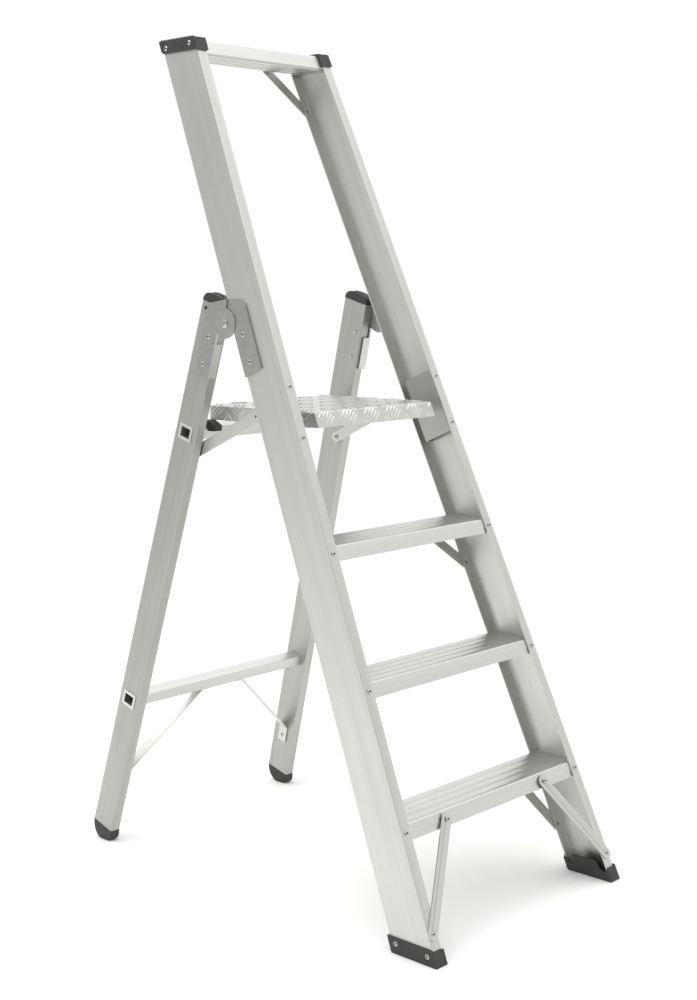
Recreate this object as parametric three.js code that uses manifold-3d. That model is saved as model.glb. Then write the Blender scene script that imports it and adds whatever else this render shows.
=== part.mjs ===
// Folding step ladder with a standing platform: millimetres, +Z up, the front towards -Y.
//
// Two leaning channel stiles hold three treads, a platform and a top rail. A rear frame of two
// box legs swings on hinge plates, and two links lift the platform as the frame folds.
// The origin is under the middle of the ladder, on the ground.
import * as THREE from "three";
import { mergeVertices } from "three/addons/utils/BufferGeometryUtils.js";
import Module from "manifold-3d";

const wasm = await Module();
wasm.setup();

// ---------------------------------------------------------------- driving dimensions

const gap = 0.3; // between pieces that touch
const treadPitch = 250; // rise from one standing surface to the next
const firstTreadTop = 240.5;
const treadCount = 3;

const stile = {
  lean: 0.4206, // backward run per unit of height
  halfWidth: 293.8, // outer face from the middle, at the ground
  taper: 0.0579, // how much the half width loses per unit of height
  depth: 105.7, // level depth, front flange to back flange
  flange: 24, // how far the flanges reach inwards
  web: 3,
  wall: 3.2,
  bottom: 3,
  top: 1740,
  cornerRadius: 2.5,
};
const groove = { depth: 0.12, width: 1.8, pitch: 3.6, count: 5, ramp: 0.4, frontMargin: 14, backMargin: 22 };

const leg = {
  lean: 0.2901,
  behindPin: 21.9, // level, from the hinge pin to the front plane
  abovePin: 32.05, // along the leg, from the pin's height to the leg's end
  inset: 0.02, // how much further in than a stile's its outer face is, at the hinge pin
  taper: 0.0531,
  depth: 64.8, // square to the leg
  width: 24,
  wall: 2,
  bottom: 25, // along the leg
  cornerRadius: 2.4,
};

const slopeOf = (lean) => ({ sin: lean / Math.hypot(1, lean), cos: 1 / Math.hypot(1, lean) });
const stileSlope = slopeOf(stile.lean);
const legSlope = slopeOf(leg.lean);

const tread = { height: 29, wall: 2.6, lip: 11, ribHeight: 0.8, ribWidth: 18, ribs: 4, ribMargin: 6 };
const frontFaceStep = 0.8; // the lower part of a tread's front face is set back by this
const frontFaceStepShare = 0.62;
const topRail = { height: 28.5, wall: 2.6, crown: 0.5, ribHeight: 3.5, ribWidth: 12, ribs: 5, ribMargin: 5 };

const platform = { sideRoom: 116.2, behindStile: 202.4, apron: 31.6, wall: 3, bend: 5 };
platform.top = firstTreadTop + treadCount * treadPitch + 0.8; // its raised bars lie level with a tread
platform.halfWidth = stile.halfWidth - platform.sideRoom;
platform.depth = stile.depth + platform.behindStile;
const platformPivot = { drop: 17.3, behindFront: 40.34 };
platformPivot.z = platform.top - platformPivot.drop;
platformPivot.y = stile.lean * platformPivot.z + platformPivot.behindFront;

const insert = { length: 140, belowPivot: 49.6, backMargin: 18.4, wall: 2.6, proud: 1.3 };
insert.face = stile.flange + insert.proud;
insert.start = platformPivot.z / stileSlope.cos - insert.belowPivot;

const cap = { skirt: 22, roof: 4.2, toothHeight: 2.2, toothMargin: 4, teeth: 13, wall: 3, backCut: 5 };
const foot = { height: 30, frontHeight: 28, sole: 2.7, wall: 3 };
const footInside = { height: 38, start: 21, endMargin: 28, run: 4, dip: 19, backHeight: 26 };
const footNotch = { height: 16, backMargin: 14 };

const hinge = { abovePlatform: 171.7, behindStile: 18.14, radius: 30, lobeInset: 1, pocketRoom: 0.6 };
hinge.z = platform.top + hinge.abovePlatform;
hinge.y = stile.lean * hinge.z + stile.depth + hinge.behindStile;
leg.groundLine = hinge.y + leg.behindPin + leg.lean * hinge.z; // front plane where it meets the ground
leg.length = hinge.z / legSlope.cos + leg.abovePin - leg.bottom;
leg.halfWidth = stile.halfWidth - (stile.taper - leg.taper) * hinge.z - leg.inset;
const lap = { outside: 3.44, thickness: 2.6 }; // where the leg's plate lies over the stile's
const hingePlate = { rise: 50, stopRun: 7, stopGap: 5, stopRise: 10 }; // what the two plates share
const stilePlate = { thickness: 3.6, belowPin: 73.7, abovePin: 23.3, front: 48, corner: 15 };
const legPlate = { thickness: 5.1, height: 149, front: 4, frontDrop: 53, back: 39.5 };
const legPlateFold = { inset: 16, height: 73 };

const rail = { depth: 32, height: 25, wall: 2, rim: 4, rimThickness: 1.6, belowPlatform: 55.3, lowerZ: 337 };
rail.upperZ = platform.top - rail.belowPlatform;
const railCentre = leg.depth / 2 - 0.4; // behind the leg's front face

const brace = { width: 24, thickness: 4, ridgeWidth: 6, ridgeHeight: 1.4 };
const frontBraceTop = { inset: 125.3, drop: 15.5 };
const frontBraceFoot = { inset: 10.6, z: 54.5 };
const backBrace = { width: 24, thickness: 3 };
const rearBrace = { width: 26, thickness: 3, railEnd: 38, tab: 24 };
const rearBraceFoot = { height: 127, rise: 26, drop: 14 }; // the tab on the leg, around its rivet

const link = { width: 25, thickness: 3, lip: 1.2, lipStart: 88, lipEnd: 168, endReach: 14, slack: 0.4 };
const linkLow = { belowPlatform: 98.3, behindLegFront: 17.8, clearance: 1.18 }; // at the leg's inner face
const linkHigh = { belowPlatform: 15.3, behindPivot: 103, clearance: 7.3 }; // inwards of the insert
linkLow.z = platform.top - linkLow.belowPlatform;
linkLow.y = leg.groundLine - leg.lean * linkLow.z + linkLow.behindLegFront;
linkHigh.z = platform.top - linkHigh.belowPlatform;
linkHigh.y = platformPivot.y + linkHigh.behindPivot;

const legCap = { rise: 20, shoulder: 6, bulge: 18, sleeve: 30, ridge: 4, ridgeMargin: 16, ridgeRise: 1.2 };
const legFoot = { sleeve: 40, side: 9, toe: 18, flat: 16 };
const plugWall = 2;

const restPad = { outside: 15.4, width: 20, beforeRail: 41, behindRail: 5.9, height: 22.4 };
const restPadChamfer = { run: 20, drop: 10 };
restPad.x = platform.halfWidth + restPad.outside - restPad.width / 2;

const rivet = { shank: 2.4, head: 5, headHeight: 2.2, tail: 4, tailHeight: 1.5 };
const pivotRivet = { shank: 4, head: 8.5, headHeight: 3, tail: 7, tailHeight: 2.2 };
const bush = { radius: 8, clearance: 0.35 };

// ---------------------------------------------------------------- finishes

const finish = (color, roughness, metalness) =>
  new THREE.MeshStandardMaterial({ color, roughness, metalness });

const millAluminium = finish("#c4c6c3", 0.42, 0.9);
const brightAluminium = finish("#dcdedb", 0.36, 0.9);
const checkerPlate = finish("#cfd1ce", 0.38, 0.9);
const greyPlate = finish("#8e908a", 0.5, 0.8);
const steelRivet = finish("#b6b7b4", 0.35, 1);
const blackPlastic = finish("#33342f", 0.55, 0);

// ---------------------------------------------------------------- solids and shapes

/** Turns a closed geometry into a manifold solid. */
function toSolid(geometry) {
  const bare = geometry.index ? geometry.toNonIndexed() : geometry.clone();
  bare.deleteAttribute("normal");
  bare.deleteAttribute("uv");
  const merged = mergeVertices(bare, 1e-5);
  const vertProperties = merged.attributes.position.array;
  const triVerts = new Uint32Array(merged.index.array);
  return new wasm.Manifold(new wasm.Mesh({ numProp: 3, vertProperties, triVerts }));
}

/** Turns a manifold solid back into a geometry. */
function toGeometry(solid) {
  const mesh = solid.getMesh();
  const geometry = new THREE.BufferGeometry();
  geometry.setAttribute("position", new THREE.BufferAttribute(mesh.vertProperties, 3));
  geometry.setIndex(new THREE.BufferAttribute(mesh.triVerts, 1));
  return geometry;
}

/** Joins overlapping geometries into one. */
function join(first, ...others) {
  return toGeometry(others.reduce((sum, each) => sum.add(toSolid(each)), toSolid(first)));
}

/** Cuts the tools out of a geometry. */
function cut(body, ...tools) {
  return toGeometry(tools.reduce((rest, tool) => rest.subtract(toSolid(tool)), toSolid(body)));
}

/** Keeps what two geometries share. */
function common(first, second) {
  return toGeometry(toSolid(first).intersect(toSolid(second)));
}

/** Bakes a matrix into a geometry; a mirroring matrix turns each face round, so it is turned back. */
function place(geometry, matrix) {
  const result = geometry.index ? geometry.toNonIndexed() : geometry.clone();
  result.deleteAttribute("normal");
  result.deleteAttribute("uv");
  result.applyMatrix4(matrix);
  if (matrix.determinant() > 0) return result;
  const position = result.attributes.position;
  const second = new THREE.Vector3();
  const third = new THREE.Vector3();
  for (let i = 0; i < position.count; i += 3) {
    second.fromBufferAttribute(position, i + 1);
    third.fromBufferAttribute(position, i + 2);
    position.setXYZ(i + 1, third.x, third.y, third.z);
    position.setXYZ(i + 2, second.x, second.y, second.z);
  }
  return result;
}

/** An outline through points [a, b, cornerRadius], with its corners rounded where a radius is given. */
function outline(points) {
  const shape = new THREE.Shape();
  points.forEach(([a, b, radius = 0], i) => {
    const corner = new THREE.Vector2(a, b);
    const before = points.at(i - 1);
    const after = points[(i + 1) % points.length];
    const toBefore = new THREE.Vector2(before[0] - a, before[1] - b).setLength(radius);
    const toAfter = new THREE.Vector2(after[0] - a, after[1] - b).setLength(radius);
    const start = corner.clone().add(toBefore);
    const end = corner.clone().add(toAfter);
    if (i === 0) shape.moveTo(start.x, start.y);
    else shape.lineTo(start.x, start.y);
    if (radius > 0) shape.quadraticCurveTo(a, b, end.x, end.y);
  });
  shape.closePath();
  return shape;
}

const rectangle = (a0, a1, b0, b1, radius = 0) =>
  outline([[a0, b0, radius], [a1, b0, radius], [a1, b1, radius], [a0, b1, radius]]);

/** Extrudes an outline of the first two coordinates along the third. */
function extrude(shape, from, to, curveSegments = 4) {
  const settings = { depth: to - from, bevelEnabled: false, curveSegments };
  return new THREE.ExtrudeGeometry(shape, settings).translate(0, 0, from);
}

/** Extrudes an outline of the second and third coordinates along the first. */
function extrudeAcross(shape, from, to, curveSegments = 4) {
  const turn = new THREE.Matrix4().set(0, 0, 1, 0, 1, 0, 0, 0, 0, 1, 0, 0, 0, 0, 0, 1);
  return extrude(shape, from, to, curveSegments).applyMatrix4(turn);
}

/** A box between two corners. */
function block(x0, x1, y0, y1, z0, z1) {
  return extrude(rectangle(x0, x1, y0, y1), z0, z1);
}

/** A cylinder along the first coordinate. */
function roundAcross(radius, from, to, b, c, segments = 32) {
  const shape = new THREE.Shape().absarc(b, c, radius, 0, 2 * Math.PI);
  return extrudeAcross(shape, from, to, segments / 2);
}

/** A disc that runs across, from one distance outwards of the middle to another. */
function sideDisc(side, radius, from, to, y, z) {
  return side > 0 ? roundAcross(radius, from, to, y, z) : roundAcross(radius, -to, -from, y, z);
}

/** A rivet along the third coordinate: a domed head above 0 and a flat tail below -grip. */
function rivetAlong(size, grip, segments = 16) {
  const slack = 0.15;
  const tailTop = -grip - slack;
  const dome = [0.95, 0.75, 0.4].map((share) => {
    const height = slack + size.headHeight * Math.sqrt(1 - share * share);
    return new THREE.Vector2(size.head * share, height);
  });
  const profile = [
    new THREE.Vector2(0, tailTop - size.tailHeight),
    new THREE.Vector2(size.tail * 0.8, tailTop - size.tailHeight),
    new THREE.Vector2(size.tail, tailTop - size.tailHeight * 0.5),
    new THREE.Vector2(size.tail, tailTop),
    new THREE.Vector2(size.shank, tailTop),
    new THREE.Vector2(size.shank, slack),
    new THREE.Vector2(size.head, slack),
    ...dome,
    new THREE.Vector2(0, slack + size.headHeight),
  ];
  return new THREE.LatheGeometry(profile, segments).rotateX(Math.PI / 2);
}

// ---------------------------------------------------------------- frames that pieces are drawn in

/** Matrix of a frame whose first coordinate runs inwards from a tapering side face. */
function sideFrame(side, member, yFromSecond, yFromThird, yStart, zFromSecond, zFromThird) {
  const taper = -side * member.taper;
  return new THREE.Matrix4().set(
    -side, taper * zFromSecond, taper * zFromThird, side * member.halfWidth,
    0, yFromSecond, yFromThird, yStart,
    0, zFromSecond, zFromThird, 0,
    0, 0, 0, 1,
  );
}

// Coordinates: inwards from the outer face, level run behind the front plane, height.
const stileLevel = (side) => sideFrame(side, stile, 1, stile.lean, 0, 0, 1);

// Coordinates: inwards from the outer face, square to the front plane, up along it.
const stileSquare = (side) =>
  sideFrame(side, stile, stileSlope.cos, stileSlope.sin, 0, -stileSlope.sin, stileSlope.cos);

// The same for a leg, which leans forwards.
const legSquare = (side) =>
  sideFrame(side, leg, legSlope.cos, -legSlope.sin, leg.groundLine, legSlope.sin, legSlope.cos);

// Coordinates: across, up along the stiles' front plane, out of that plane to the front.
const frontPlane = new THREE.Matrix4().set(
  1, 0, 0, 0,
  0, stileSlope.sin, -stileSlope.cos, 0,
  0, stileSlope.cos, stileSlope.sin, 0,
  0, 0, 0, 1,
);

// Coordinates: across, up along the legs, square to them to the back.
const legPlane = new THREE.Matrix4().set(
  1, 0, 0, 0,
  0, -legSlope.sin, legSlope.cos, leg.groundLine,
  0, legSlope.cos, legSlope.sin, 0,
  0, 0, 0, 1,
);

/** The side view's own frame, with its first coordinate outwards or inwards from a tapering face. */
function sideView(member, side, outwards) {
  return new THREE.Matrix4().set(
    side * outwards, 0, -side * member.taper, side * member.halfWidth,
    0, 1, 0, 0,
    0, 0, 1, 0,
    0, 0, 0, 1,
  );
}

/** A plate that lies on a tapering side face, from its shape in the side view. */
function sidePlate(shape, member, side, from, to) {
  return place(extrudeAcross(shape, from, to, 16), sideView(member, side, 1));
}

/** A point of the side view, from the distance behind a front plane and the distance up along it. */
const onStile = (v, u) => [v * stileSlope.cos + u * stileSlope.sin, u * stileSlope.cos - v * stileSlope.sin];
const onLeg = (v, u) => [
  leg.groundLine + v * legSlope.cos - u * legSlope.sin,
  v * legSlope.sin + u * legSlope.cos,
];

const shiftLevel = new THREE.Matrix4().set(1, 0, 0, 0, 0, 1, stile.lean, 0, 0, 0, 1, 0, 0, 0, 0, 1);

const stileOuter = (z) => stile.halfWidth - stile.taper * z;
const legOuter = (z) => leg.halfWidth - leg.taper * z;
const flangeCentre = (z) => stileOuter(z) - stile.flange / 2;
const levelToSquare = (run) => run * stileSlope.cos;

/** Moves a turned or upright piece to a place. */
const at = (geometry, x, y, z) => geometry.clone().translate(x, y, z);

/** Stretches a section that is drawn in second and third coordinates between two tapering faces. */
function between(section, halfLength, curveSegments = 4) {
  const geometry = extrudeAcross(section, -1, 1, curveSegments);
  const position = geometry.attributes.position;
  for (let i = 0; i < position.count; i += 1) {
    position.setX(i, Math.sign(position.getX(i)) * halfLength(position.getY(i), position.getZ(i)));
  }
  return geometry;
}

const treadTops = Array.from({ length: treadCount }, (_, i) => firstTreadTop + i * treadPitch);
const treadFront = stile.wall + gap;
const treadBack = stile.depth - stile.wall - gap;
const treadHalf = (z) => stileOuter(z) - stile.web - gap;
const treadRivetDrop = 13;
frontBraceTop.z = firstTreadTop - frontBraceTop.drop;
frontBraceTop.x = stileOuter(frontBraceTop.z) - frontBraceTop.inset;
frontBraceFoot.x = stileOuter(frontBraceFoot.z) - frontBraceFoot.inset;
linkLow.x = legOuter(linkLow.z) - leg.width - linkLow.clearance; // the link's outer face there
linkHigh.x = stileOuter(linkHigh.z) - insert.face - linkHigh.clearance;

const ladder = new THREE.Group();
const sides = [["left", -1], ["right", 1]];

function add(name, geometry, material) {
  const mesh = new THREE.Mesh(geometry, material);
  mesh.name = name;
  ladder.add(mesh);
}

// ---------------------------------------------------------------- holes

/** A hole square to the front plane, through what lies around it; z is where its axis meets the plane. */
function frontHole(x, z, size, near, far) {
  const along = z / stileSlope.cos;
  const hole = extrude(new THREE.Shape().absarc(x, along, size.shank + gap, 0, 2 * Math.PI), far, near, 8);
  return place(hole, frontPlane);
}

/** A rivet in that direction, with its head at the given distance in front of the plane. */
function frontRivet(x, z, size, headAt, grip) {
  const along = z / stileSlope.cos;
  return place(at(rivetAlong(size, grip), x, along, headAt), frontPlane);
}

const treadRivets = treadTops.flatMap((top, i) =>
  sides.map(([hand, side]) => ({ name: `tread_${i + 1}_rivet_${hand}`, side, z: top - treadRivetDrop })),
);
const flangeReach = 12; // how far a hole tool reaches to each side of a flange

// ---------------------------------------------------------------- front frame

/** Section of a stile: a channel with two bands of fine grooves along the outer face. */
function stileSection() {
  const { depth, width, pitch, count, ramp } = groove;
  const outer = [[0, stile.depth, stile.cornerRadius], [stile.flange, stile.depth, 1]];
  outer.push([stile.flange, stile.depth - stile.wall], [stile.web, stile.depth - stile.wall, 1]);
  outer.push([stile.web, stile.wall, 1], [stile.flange, stile.wall], [stile.flange, 0, 1]);
  outer.push([0, 0, stile.cornerRadius]);
  [groove.frontMargin, stile.depth - groove.backMargin].forEach((start) => {
    for (let i = 0; i < count; i += 1) {
      const from = start + i * pitch;
      outer.push([0, from], [depth, from + ramp], [depth, from + width - ramp], [0, from + width]);
    }
  });
  return outline(outer);
}

function buildStiles() {
  sides.forEach(([hand, side]) => {
    const bar = place(extrude(stileSection(), stile.bottom, stile.top, 3), stileLevel(side));
    const holes = treadRivets
      .filter((each) => each.side === side)
      .map(({ z }) => frontHole(side * flangeCentre(z), z, rivet, flangeReach, -flangeReach));
    add(`stile_${hand}`, cut(bar, ...holes), millAluminium);
  });
}

/** Section of a tread: a channel open downwards, with a ribbed top, a stepped front and two lips. */
function treadSection(top) {
  const { height, wall, lip, ribHeight, ribWidth, ribs, ribMargin } = tread;
  const bottom = top - height;
  const stepZ = top - height * frontFaceStepShare;
  const backStep = treadFront + frontFaceStep;
  const points = [[backStep, bottom], [backStep + lip, bottom], [backStep + lip, bottom + wall]];
  points.push([backStep + wall, bottom + wall], [backStep + wall, top - wall]);
  points.push([treadBack - wall, top - wall], [treadBack - wall, bottom + wall]);
  points.push([treadBack - lip, bottom + wall], [treadBack - lip, bottom]);
  points.push([treadBack, bottom], [treadBack, top, 2]);
  const run = treadBack - treadFront - 2 * ribMargin - ribWidth;
  for (let i = ribs - 1; i >= 0; i -= 1) {
    const from = treadFront + ribMargin + (run * i) / (ribs - 1);
    points.push([from + ribWidth, top], [from + ribWidth - 1, top + ribHeight]);
    points.push([from + 1, top + ribHeight], [from, top]);
  }
  points.push([treadFront, top, 2.5], [treadFront, stepZ], [backStep, stepZ - frontFaceStep]);
  return outline(points);
}

function buildTreads() {
  treadTops.forEach((top, i) => {
    const body = place(between(treadSection(top), (_, z) => treadHalf(z)), shiftLevel);
    const holes = treadRivets
      .filter((each) => each.z === top - treadRivetDrop)
      .map(({ side, z }) => frontHole(side * flangeCentre(z), z, rivet, flangeReach, -flangeReach));
    if (i === 0) holes.push(...sides.map(([, side]) => frontHole(side * frontBraceTop.x, frontBraceTop.z,
      rivet, flangeReach, -flangeReach)));
    add(`tread_${i + 1}`, cut(body, ...holes), brightAluminium);
  });
}

function buildTreadRivets() {
  const grip = levelToSquare(treadFront + frontFaceStep + tread.wall);
  treadRivets.forEach(({ name, side, z }) => {
    add(name, frontRivet(side * flangeCentre(z), z, rivet, 0, grip), steelRivet);
  });
}

/** The top rail: a closed hollow section with a plain front and a ribbed underside. */
function buildTopRail() {
  const high = stile.top - topRail.crown;
  const low = high - topRail.height;
  const points = [[treadFront, high, 2.5], [treadFront, low, 2]];
  const { wall, ribHeight, ribWidth, ribs, ribMargin } = topRail;
  const run = treadBack - treadFront - 2 * ribMargin - ribWidth;
  for (let i = 0; i < ribs; i += 1) {
    const from = treadFront + ribMargin + (run * i) / (ribs - 1);
    points.push([from, low], [from + 1, low - ribHeight]);
    points.push([from + ribWidth - 1, low - ribHeight], [from + ribWidth, low]);
  }
  points.push([treadBack, low, 2], [treadBack, high, 2.5]);
  const section = outline(points);
  section.holes.push(rectangle(treadFront + wall, treadBack - wall, low + wall, high - wall));
  add("top_rail", place(between(section, (_, z) => treadHalf(z)), shiftLevel), brightAluminium);
}

/** Black end cap of a stile: a roof with a toothed outer edge and a skirt all round. */
function buildStileCaps() {
  const outside = -gap - cap.wall;
  const inside = stile.flange + gap + cap.wall;
  const front = -gap - cap.wall;
  const back = stile.depth + gap + cap.wall;
  const low = stile.top - cap.skirt;
  const roofStart = stile.top + gap;
  const roofTop = roofStart + cap.roof;
  const plain = [[back, roofTop], [back, low + cap.backCut], [back - cap.backCut, low]];
  plain.push([front, low], [front, roofTop, 1.5]);
  const toothed = plain.slice(0, -1);
  toothed.push([front, roofTop]);
  const pitch = (back - front - 2 * cap.toothMargin) / cap.teeth;
  for (let i = 0; i < cap.teeth; i += 1) {
    const from = front + cap.toothMargin + i * pitch;
    toothed.push([from, roofTop], [from + pitch * 0.25, roofTop + cap.toothHeight]);
    toothed.push([from + pitch * 0.5, roofTop + cap.toothHeight], [from + pitch * 0.75, roofTop]);
  }
  const edge = extrudeAcross(outline(toothed), outside, outside + cap.wall);
  const body = join(extrudeAcross(outline(plain), outside, inside), edge);
  const pocket = block(-gap, stile.flange + gap, -gap, stile.depth + gap, low - 5, roofStart);
  const railWay = block(stile.flange, inside + 5, treadFront - gap, treadBack + gap, low - 5, roofStart);
  const capShape = cut(body, pocket, railWay);
  sides.forEach(([hand, side]) => add(`stile_cap_${hand}`, place(capShape, stileLevel(side)), blackPlastic));
}

/** Black shoe of a stile: a sole, a wall around the outside and a stepped inner wall. */
function buildStileFeet() {
  const outside = -gap - foot.wall;
  const innerFace = stile.flange + gap;
  const front = -gap - foot.wall;
  const back = stile.depth + gap + foot.wall;
  const outerSide = outline([[front, 0, 3], [back, 0, 3], [back, foot.height], [front, foot.height]]);
  const outer = extrudeAcross(outerSide, outside, innerFace + foot.wall);
  const pocket = block(-gap, innerFace, -gap, stile.depth + gap, foot.sole, foot.height + 5);
  const farInside = innerFace + foot.wall + 1;
  const openInside = block(innerFace - 1, farInside, front - 1, back + 1, foot.sole, foot.height + 5);
  const frontTrim = block(-gap, farInside, front - 1, -gap, foot.frontHeight, foot.height + 5);
  const { height, start, run, dip, backHeight } = footInside;
  const end = back - footInside.endMargin;
  const notchEnd = back - footNotch.backMargin;
  const innerSide = outline([
    [front, 1], [back, 1], [back, backHeight], [notchEnd + 1, backHeight], [notchEnd - 1, footNotch.height],
    [end + run, footNotch.height], [end, height, 2], [start, height, 3], [start - run, dip + 1, 3],
    [front + foot.wall + run, dip], [front, foot.frontHeight],
  ]);
  const inner = extrudeAcross(innerSide, innerFace, innerFace + foot.wall);
  const shape = join(cut(outer, pocket, openInside, frontTrim), inner);
  sides.forEach(([hand, side]) => add(`stile_foot_${hand}`, place(shape, stileLevel(side)), blackPlastic));
}

/** Short channel that stiffens a stile where the platform hangs. */
function buildStileInserts() {
  const { wall, face, start, length } = insert;
  const near = stile.web + gap;
  const front = levelToSquare(stile.wall) + gap;
  const back = levelToSquare(stile.depth) - insert.backMargin;
  const section = outline([
    [near, front], [face, front, 1.5], [face, back, 1.5], [near, back],
    [near, back - wall], [face - wall, back - wall], [face - wall, front + wall], [near, front + wall],
  ]);
  const channel = extrude(section, start, start + length);
  sides.forEach(([hand, side]) => {
    const placedChannel = place(channel, stileSquare(side));
    const { y, z } = platformPivot;
    const hole = sideDisc(side, pivotRivet.shank + gap, platform.halfWidth, stileOuter(z), y, z);
    add(`stile_insert_${hand}`, cut(placedChannel, hole), millAluminium);
  });
}

/** A flat bar with round ends between two points of a plane, drawn from low to high. */
function flatBar(low, high, width, endReach = width / 2) {
  const way = new THREE.Vector2(high.a - low.a, high.b - low.b);
  const length = way.length();
  const half = width / 2;
  const shape = outline([
    [-endReach, -half, half * 0.8], [length + endReach, -half, half * 0.8],
    [length + endReach, half, half * 0.8], [-endReach, half, half * 0.8],
  ]);
  const turn = new THREE.Matrix4().makeRotationZ(way.angle());
  return { shape, turn: turn.setPosition(low.a, low.b, 0) };
}

/** Ridged braces in front of the frame, from the lowest tread to the stiles' feet. */
function buildFrontBraces() {
  const up = (z) => z / stileSlope.cos;
  sides.forEach(([hand, side]) => {
    const low = { a: side * frontBraceFoot.x, b: up(frontBraceFoot.z) };
    const high = { a: side * frontBraceTop.x, b: up(frontBraceTop.z) };
    const { shape, turn } = flatBar(low, high, brace.width);
    const length = Math.hypot(high.a - low.a, high.b - low.b);
    const { ridgeWidth } = brace;
    const ridge = rectangle(ridgeWidth, length - ridgeWidth, -ridgeWidth / 2, ridgeWidth / 2);
    const base = extrude(shape, gap, gap + brace.thickness - brace.ridgeHeight);
    const bar = join(base, extrude(ridge, gap + 1, gap + brace.thickness)).applyMatrix4(turn);
    const hole = frontHole(side * frontBraceTop.x, frontBraceTop.z, rivet, flangeReach, -flangeReach);
    add(`front_brace_${hand}`, cut(place(bar, frontPlane), hole), brightAluminium);
    const grip = levelToSquare(treadFront + frontFaceStep + tread.wall) + gap + brace.thickness;
    const head = gap + brace.thickness;
    const name = `front_brace_rivet_${hand}`;
    add(name, frontRivet(side * frontBraceTop.x, frontBraceTop.z, rivet, head, grip), steelRivet);
  });
}

/** Flat braces behind the frame: each runs from a stile's back flange to a tread or the top rail. */
function buildBackBraces() {
  const rows = [
    { name: "tread_1_brace", high: treadTops[0] - 14.5, rise: 134.5, outerInset: 16.5, innerInset: 109.7 },
    { name: "tread_3_brace", high: treadTops[2] - 14.5, rise: 89, outerInset: 15.4, innerInset: 114.7 },
    { name: "top_brace", high: stile.top - 18, rise: 97, outerInset: 16.7, innerInset: 106.1 },
  ];
  const behind = -levelToSquare(stile.depth) - gap;
  const up = (z) => (z - behind * stileSlope.sin) / stileSlope.cos;
  rows.forEach(({ name, high, rise, outerInset, innerInset }) => {
    const low = high - rise;
    sides.forEach(([hand, side]) => {
      const outer = { a: side * (stileOuter(low) - outerInset), b: up(low) };
      const inner = { a: side * (stileOuter(high) - innerInset), b: up(high) };
      const { shape, turn } = flatBar(outer, inner, backBrace.width);
      const bar = extrude(shape, behind - backBrace.thickness, behind).applyMatrix4(turn);
      add(`${name}_${hand}`, place(bar, frontPlane), millAluminium);
    });
  });
}

// ---------------------------------------------------------------- hinge

/** A round disc around the hinge pin. */
const hingeDisc = (side, radius, from, to) => sideDisc(side, radius, from, to, hinge.y, hinge.z);

const lapStart = stileOuter(hinge.z) + lap.outside; // the stile's plate ends and the leg's begins
const lapEnd = lapStart + lap.thickness;
const lapFar = lapEnd + 20; // past every hinge plate
const lobeInner = stileOuter(hinge.z - hinge.radius) + gap;
const pinHoleRadius = pivotRivet.shank + gap;
const stopFace = hinge.y - hingePlate.stopRun;
const plateTop = hinge.z + hingePlate.rise;

/** Hinge plates riveted to the stiles, each with a round lobe under the leg's plate. */
function buildStileHingePlates() {
  const { thickness, belowPin, abovePin, front, corner } = stilePlate;
  const back = levelToSquare(stile.depth);
  const pinAlong = hinge.z / stileSlope.cos;
  const top = (plateTop + front * stileSlope.sin) / stileSlope.cos;
  const points = [
    onStile(front, pinAlong - belowPin), onStile(back, pinAlong - belowPin),
    onStile(back, pinAlong + abovePin),
    [hinge.y - 12, hinge.z], [stopFace, hinge.z + hingePlate.stopRise], [stopFace, plateTop],
    [...onStile(front, top), corner],
  ];
  const lobeRadius = hinge.radius - hinge.lobeInset;
  const round = new THREE.Shape().absarc(hinge.y, hinge.z, lobeRadius, 0, 2 * Math.PI);
  sides.forEach(([hand, side]) => {
    const slab = sidePlate(outline(points), stile, side, gap, gap + thickness);
    const boss = sidePlate(round, stile, side, gap, gap + thickness);
    const lobe = hingeDisc(side, lobeRadius, lobeInner, lapStart);
    const pocket = hingeDisc(side, hinge.radius + hinge.pocketRoom, lapStart, lapFar);
    const bore = hingeDisc(side, pinHoleRadius, platform.halfWidth, lapFar);
    const tailSeat = hingeDisc(side, pivotRivet.tail + gap, platform.halfWidth, lobeInner);
    add(`stile_hinge_plate_${hand}`, cut(join(slab, boss, lobe), pocket, bore, tailSeat), greyPlate);
  });
}

/** Hinge plates riveted to the legs and folded round their front edge. */
function buildLegHingePlates() {
  const { thickness, height, front, frontDrop, back } = legPlate;
  const top = leg.bottom + leg.length;
  const bottom = top - height;
  const stopEdge = stopFace + hingePlate.stopGap;
  const points = [
    onLeg(-front, bottom), onLeg(back, bottom), onLeg(back, top),
    [stopEdge, plateTop], [stopEdge, hinge.z + hingePlate.stopRise], onLeg(-front, top - frontDrop),
  ];
  const foldShape = block(-2, legPlateFold.inset, -front, -gap, bottom + 1, bottom + 1 + legPlateFold.height);
  const pocketEnd = lapStart + gap;
  sides.forEach(([hand, side]) => {
    const slab = sidePlate(outline(points), leg, side, gap, gap + thickness);
    const fold = place(foldShape, legSquare(side));
    const lobe = hingeDisc(side, hinge.radius, pocketEnd, lapEnd);
    const pocket = hingeDisc(side, hinge.radius + hinge.pocketRoom, platform.halfWidth, pocketEnd);
    const bore = hingeDisc(side, pinHoleRadius, platform.halfWidth, lapFar);
    add(`leg_hinge_plate_${hand}`, cut(join(slab, fold, lobe), pocket, bore), greyPlate);
  });
}

/** A rivet along the across direction, with its head towards the outside. */
function sideRivet(size, side, headAt, grip, y, z) {
  const turn = new THREE.Matrix4().makeRotationY((side * Math.PI) / 2);
  return at(rivetAlong(size, grip).applyMatrix4(turn), side * headAt, y, z);
}

function buildHingeRivets() {
  sides.forEach(([hand, side]) => {
    const shape = sideRivet(pivotRivet, side, lapEnd, lapEnd - lobeInner, hinge.y, hinge.z);
    add(`hinge_rivet_${hand}`, shape, steelRivet);
  });
}

// ---------------------------------------------------------------- rear frame

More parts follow.
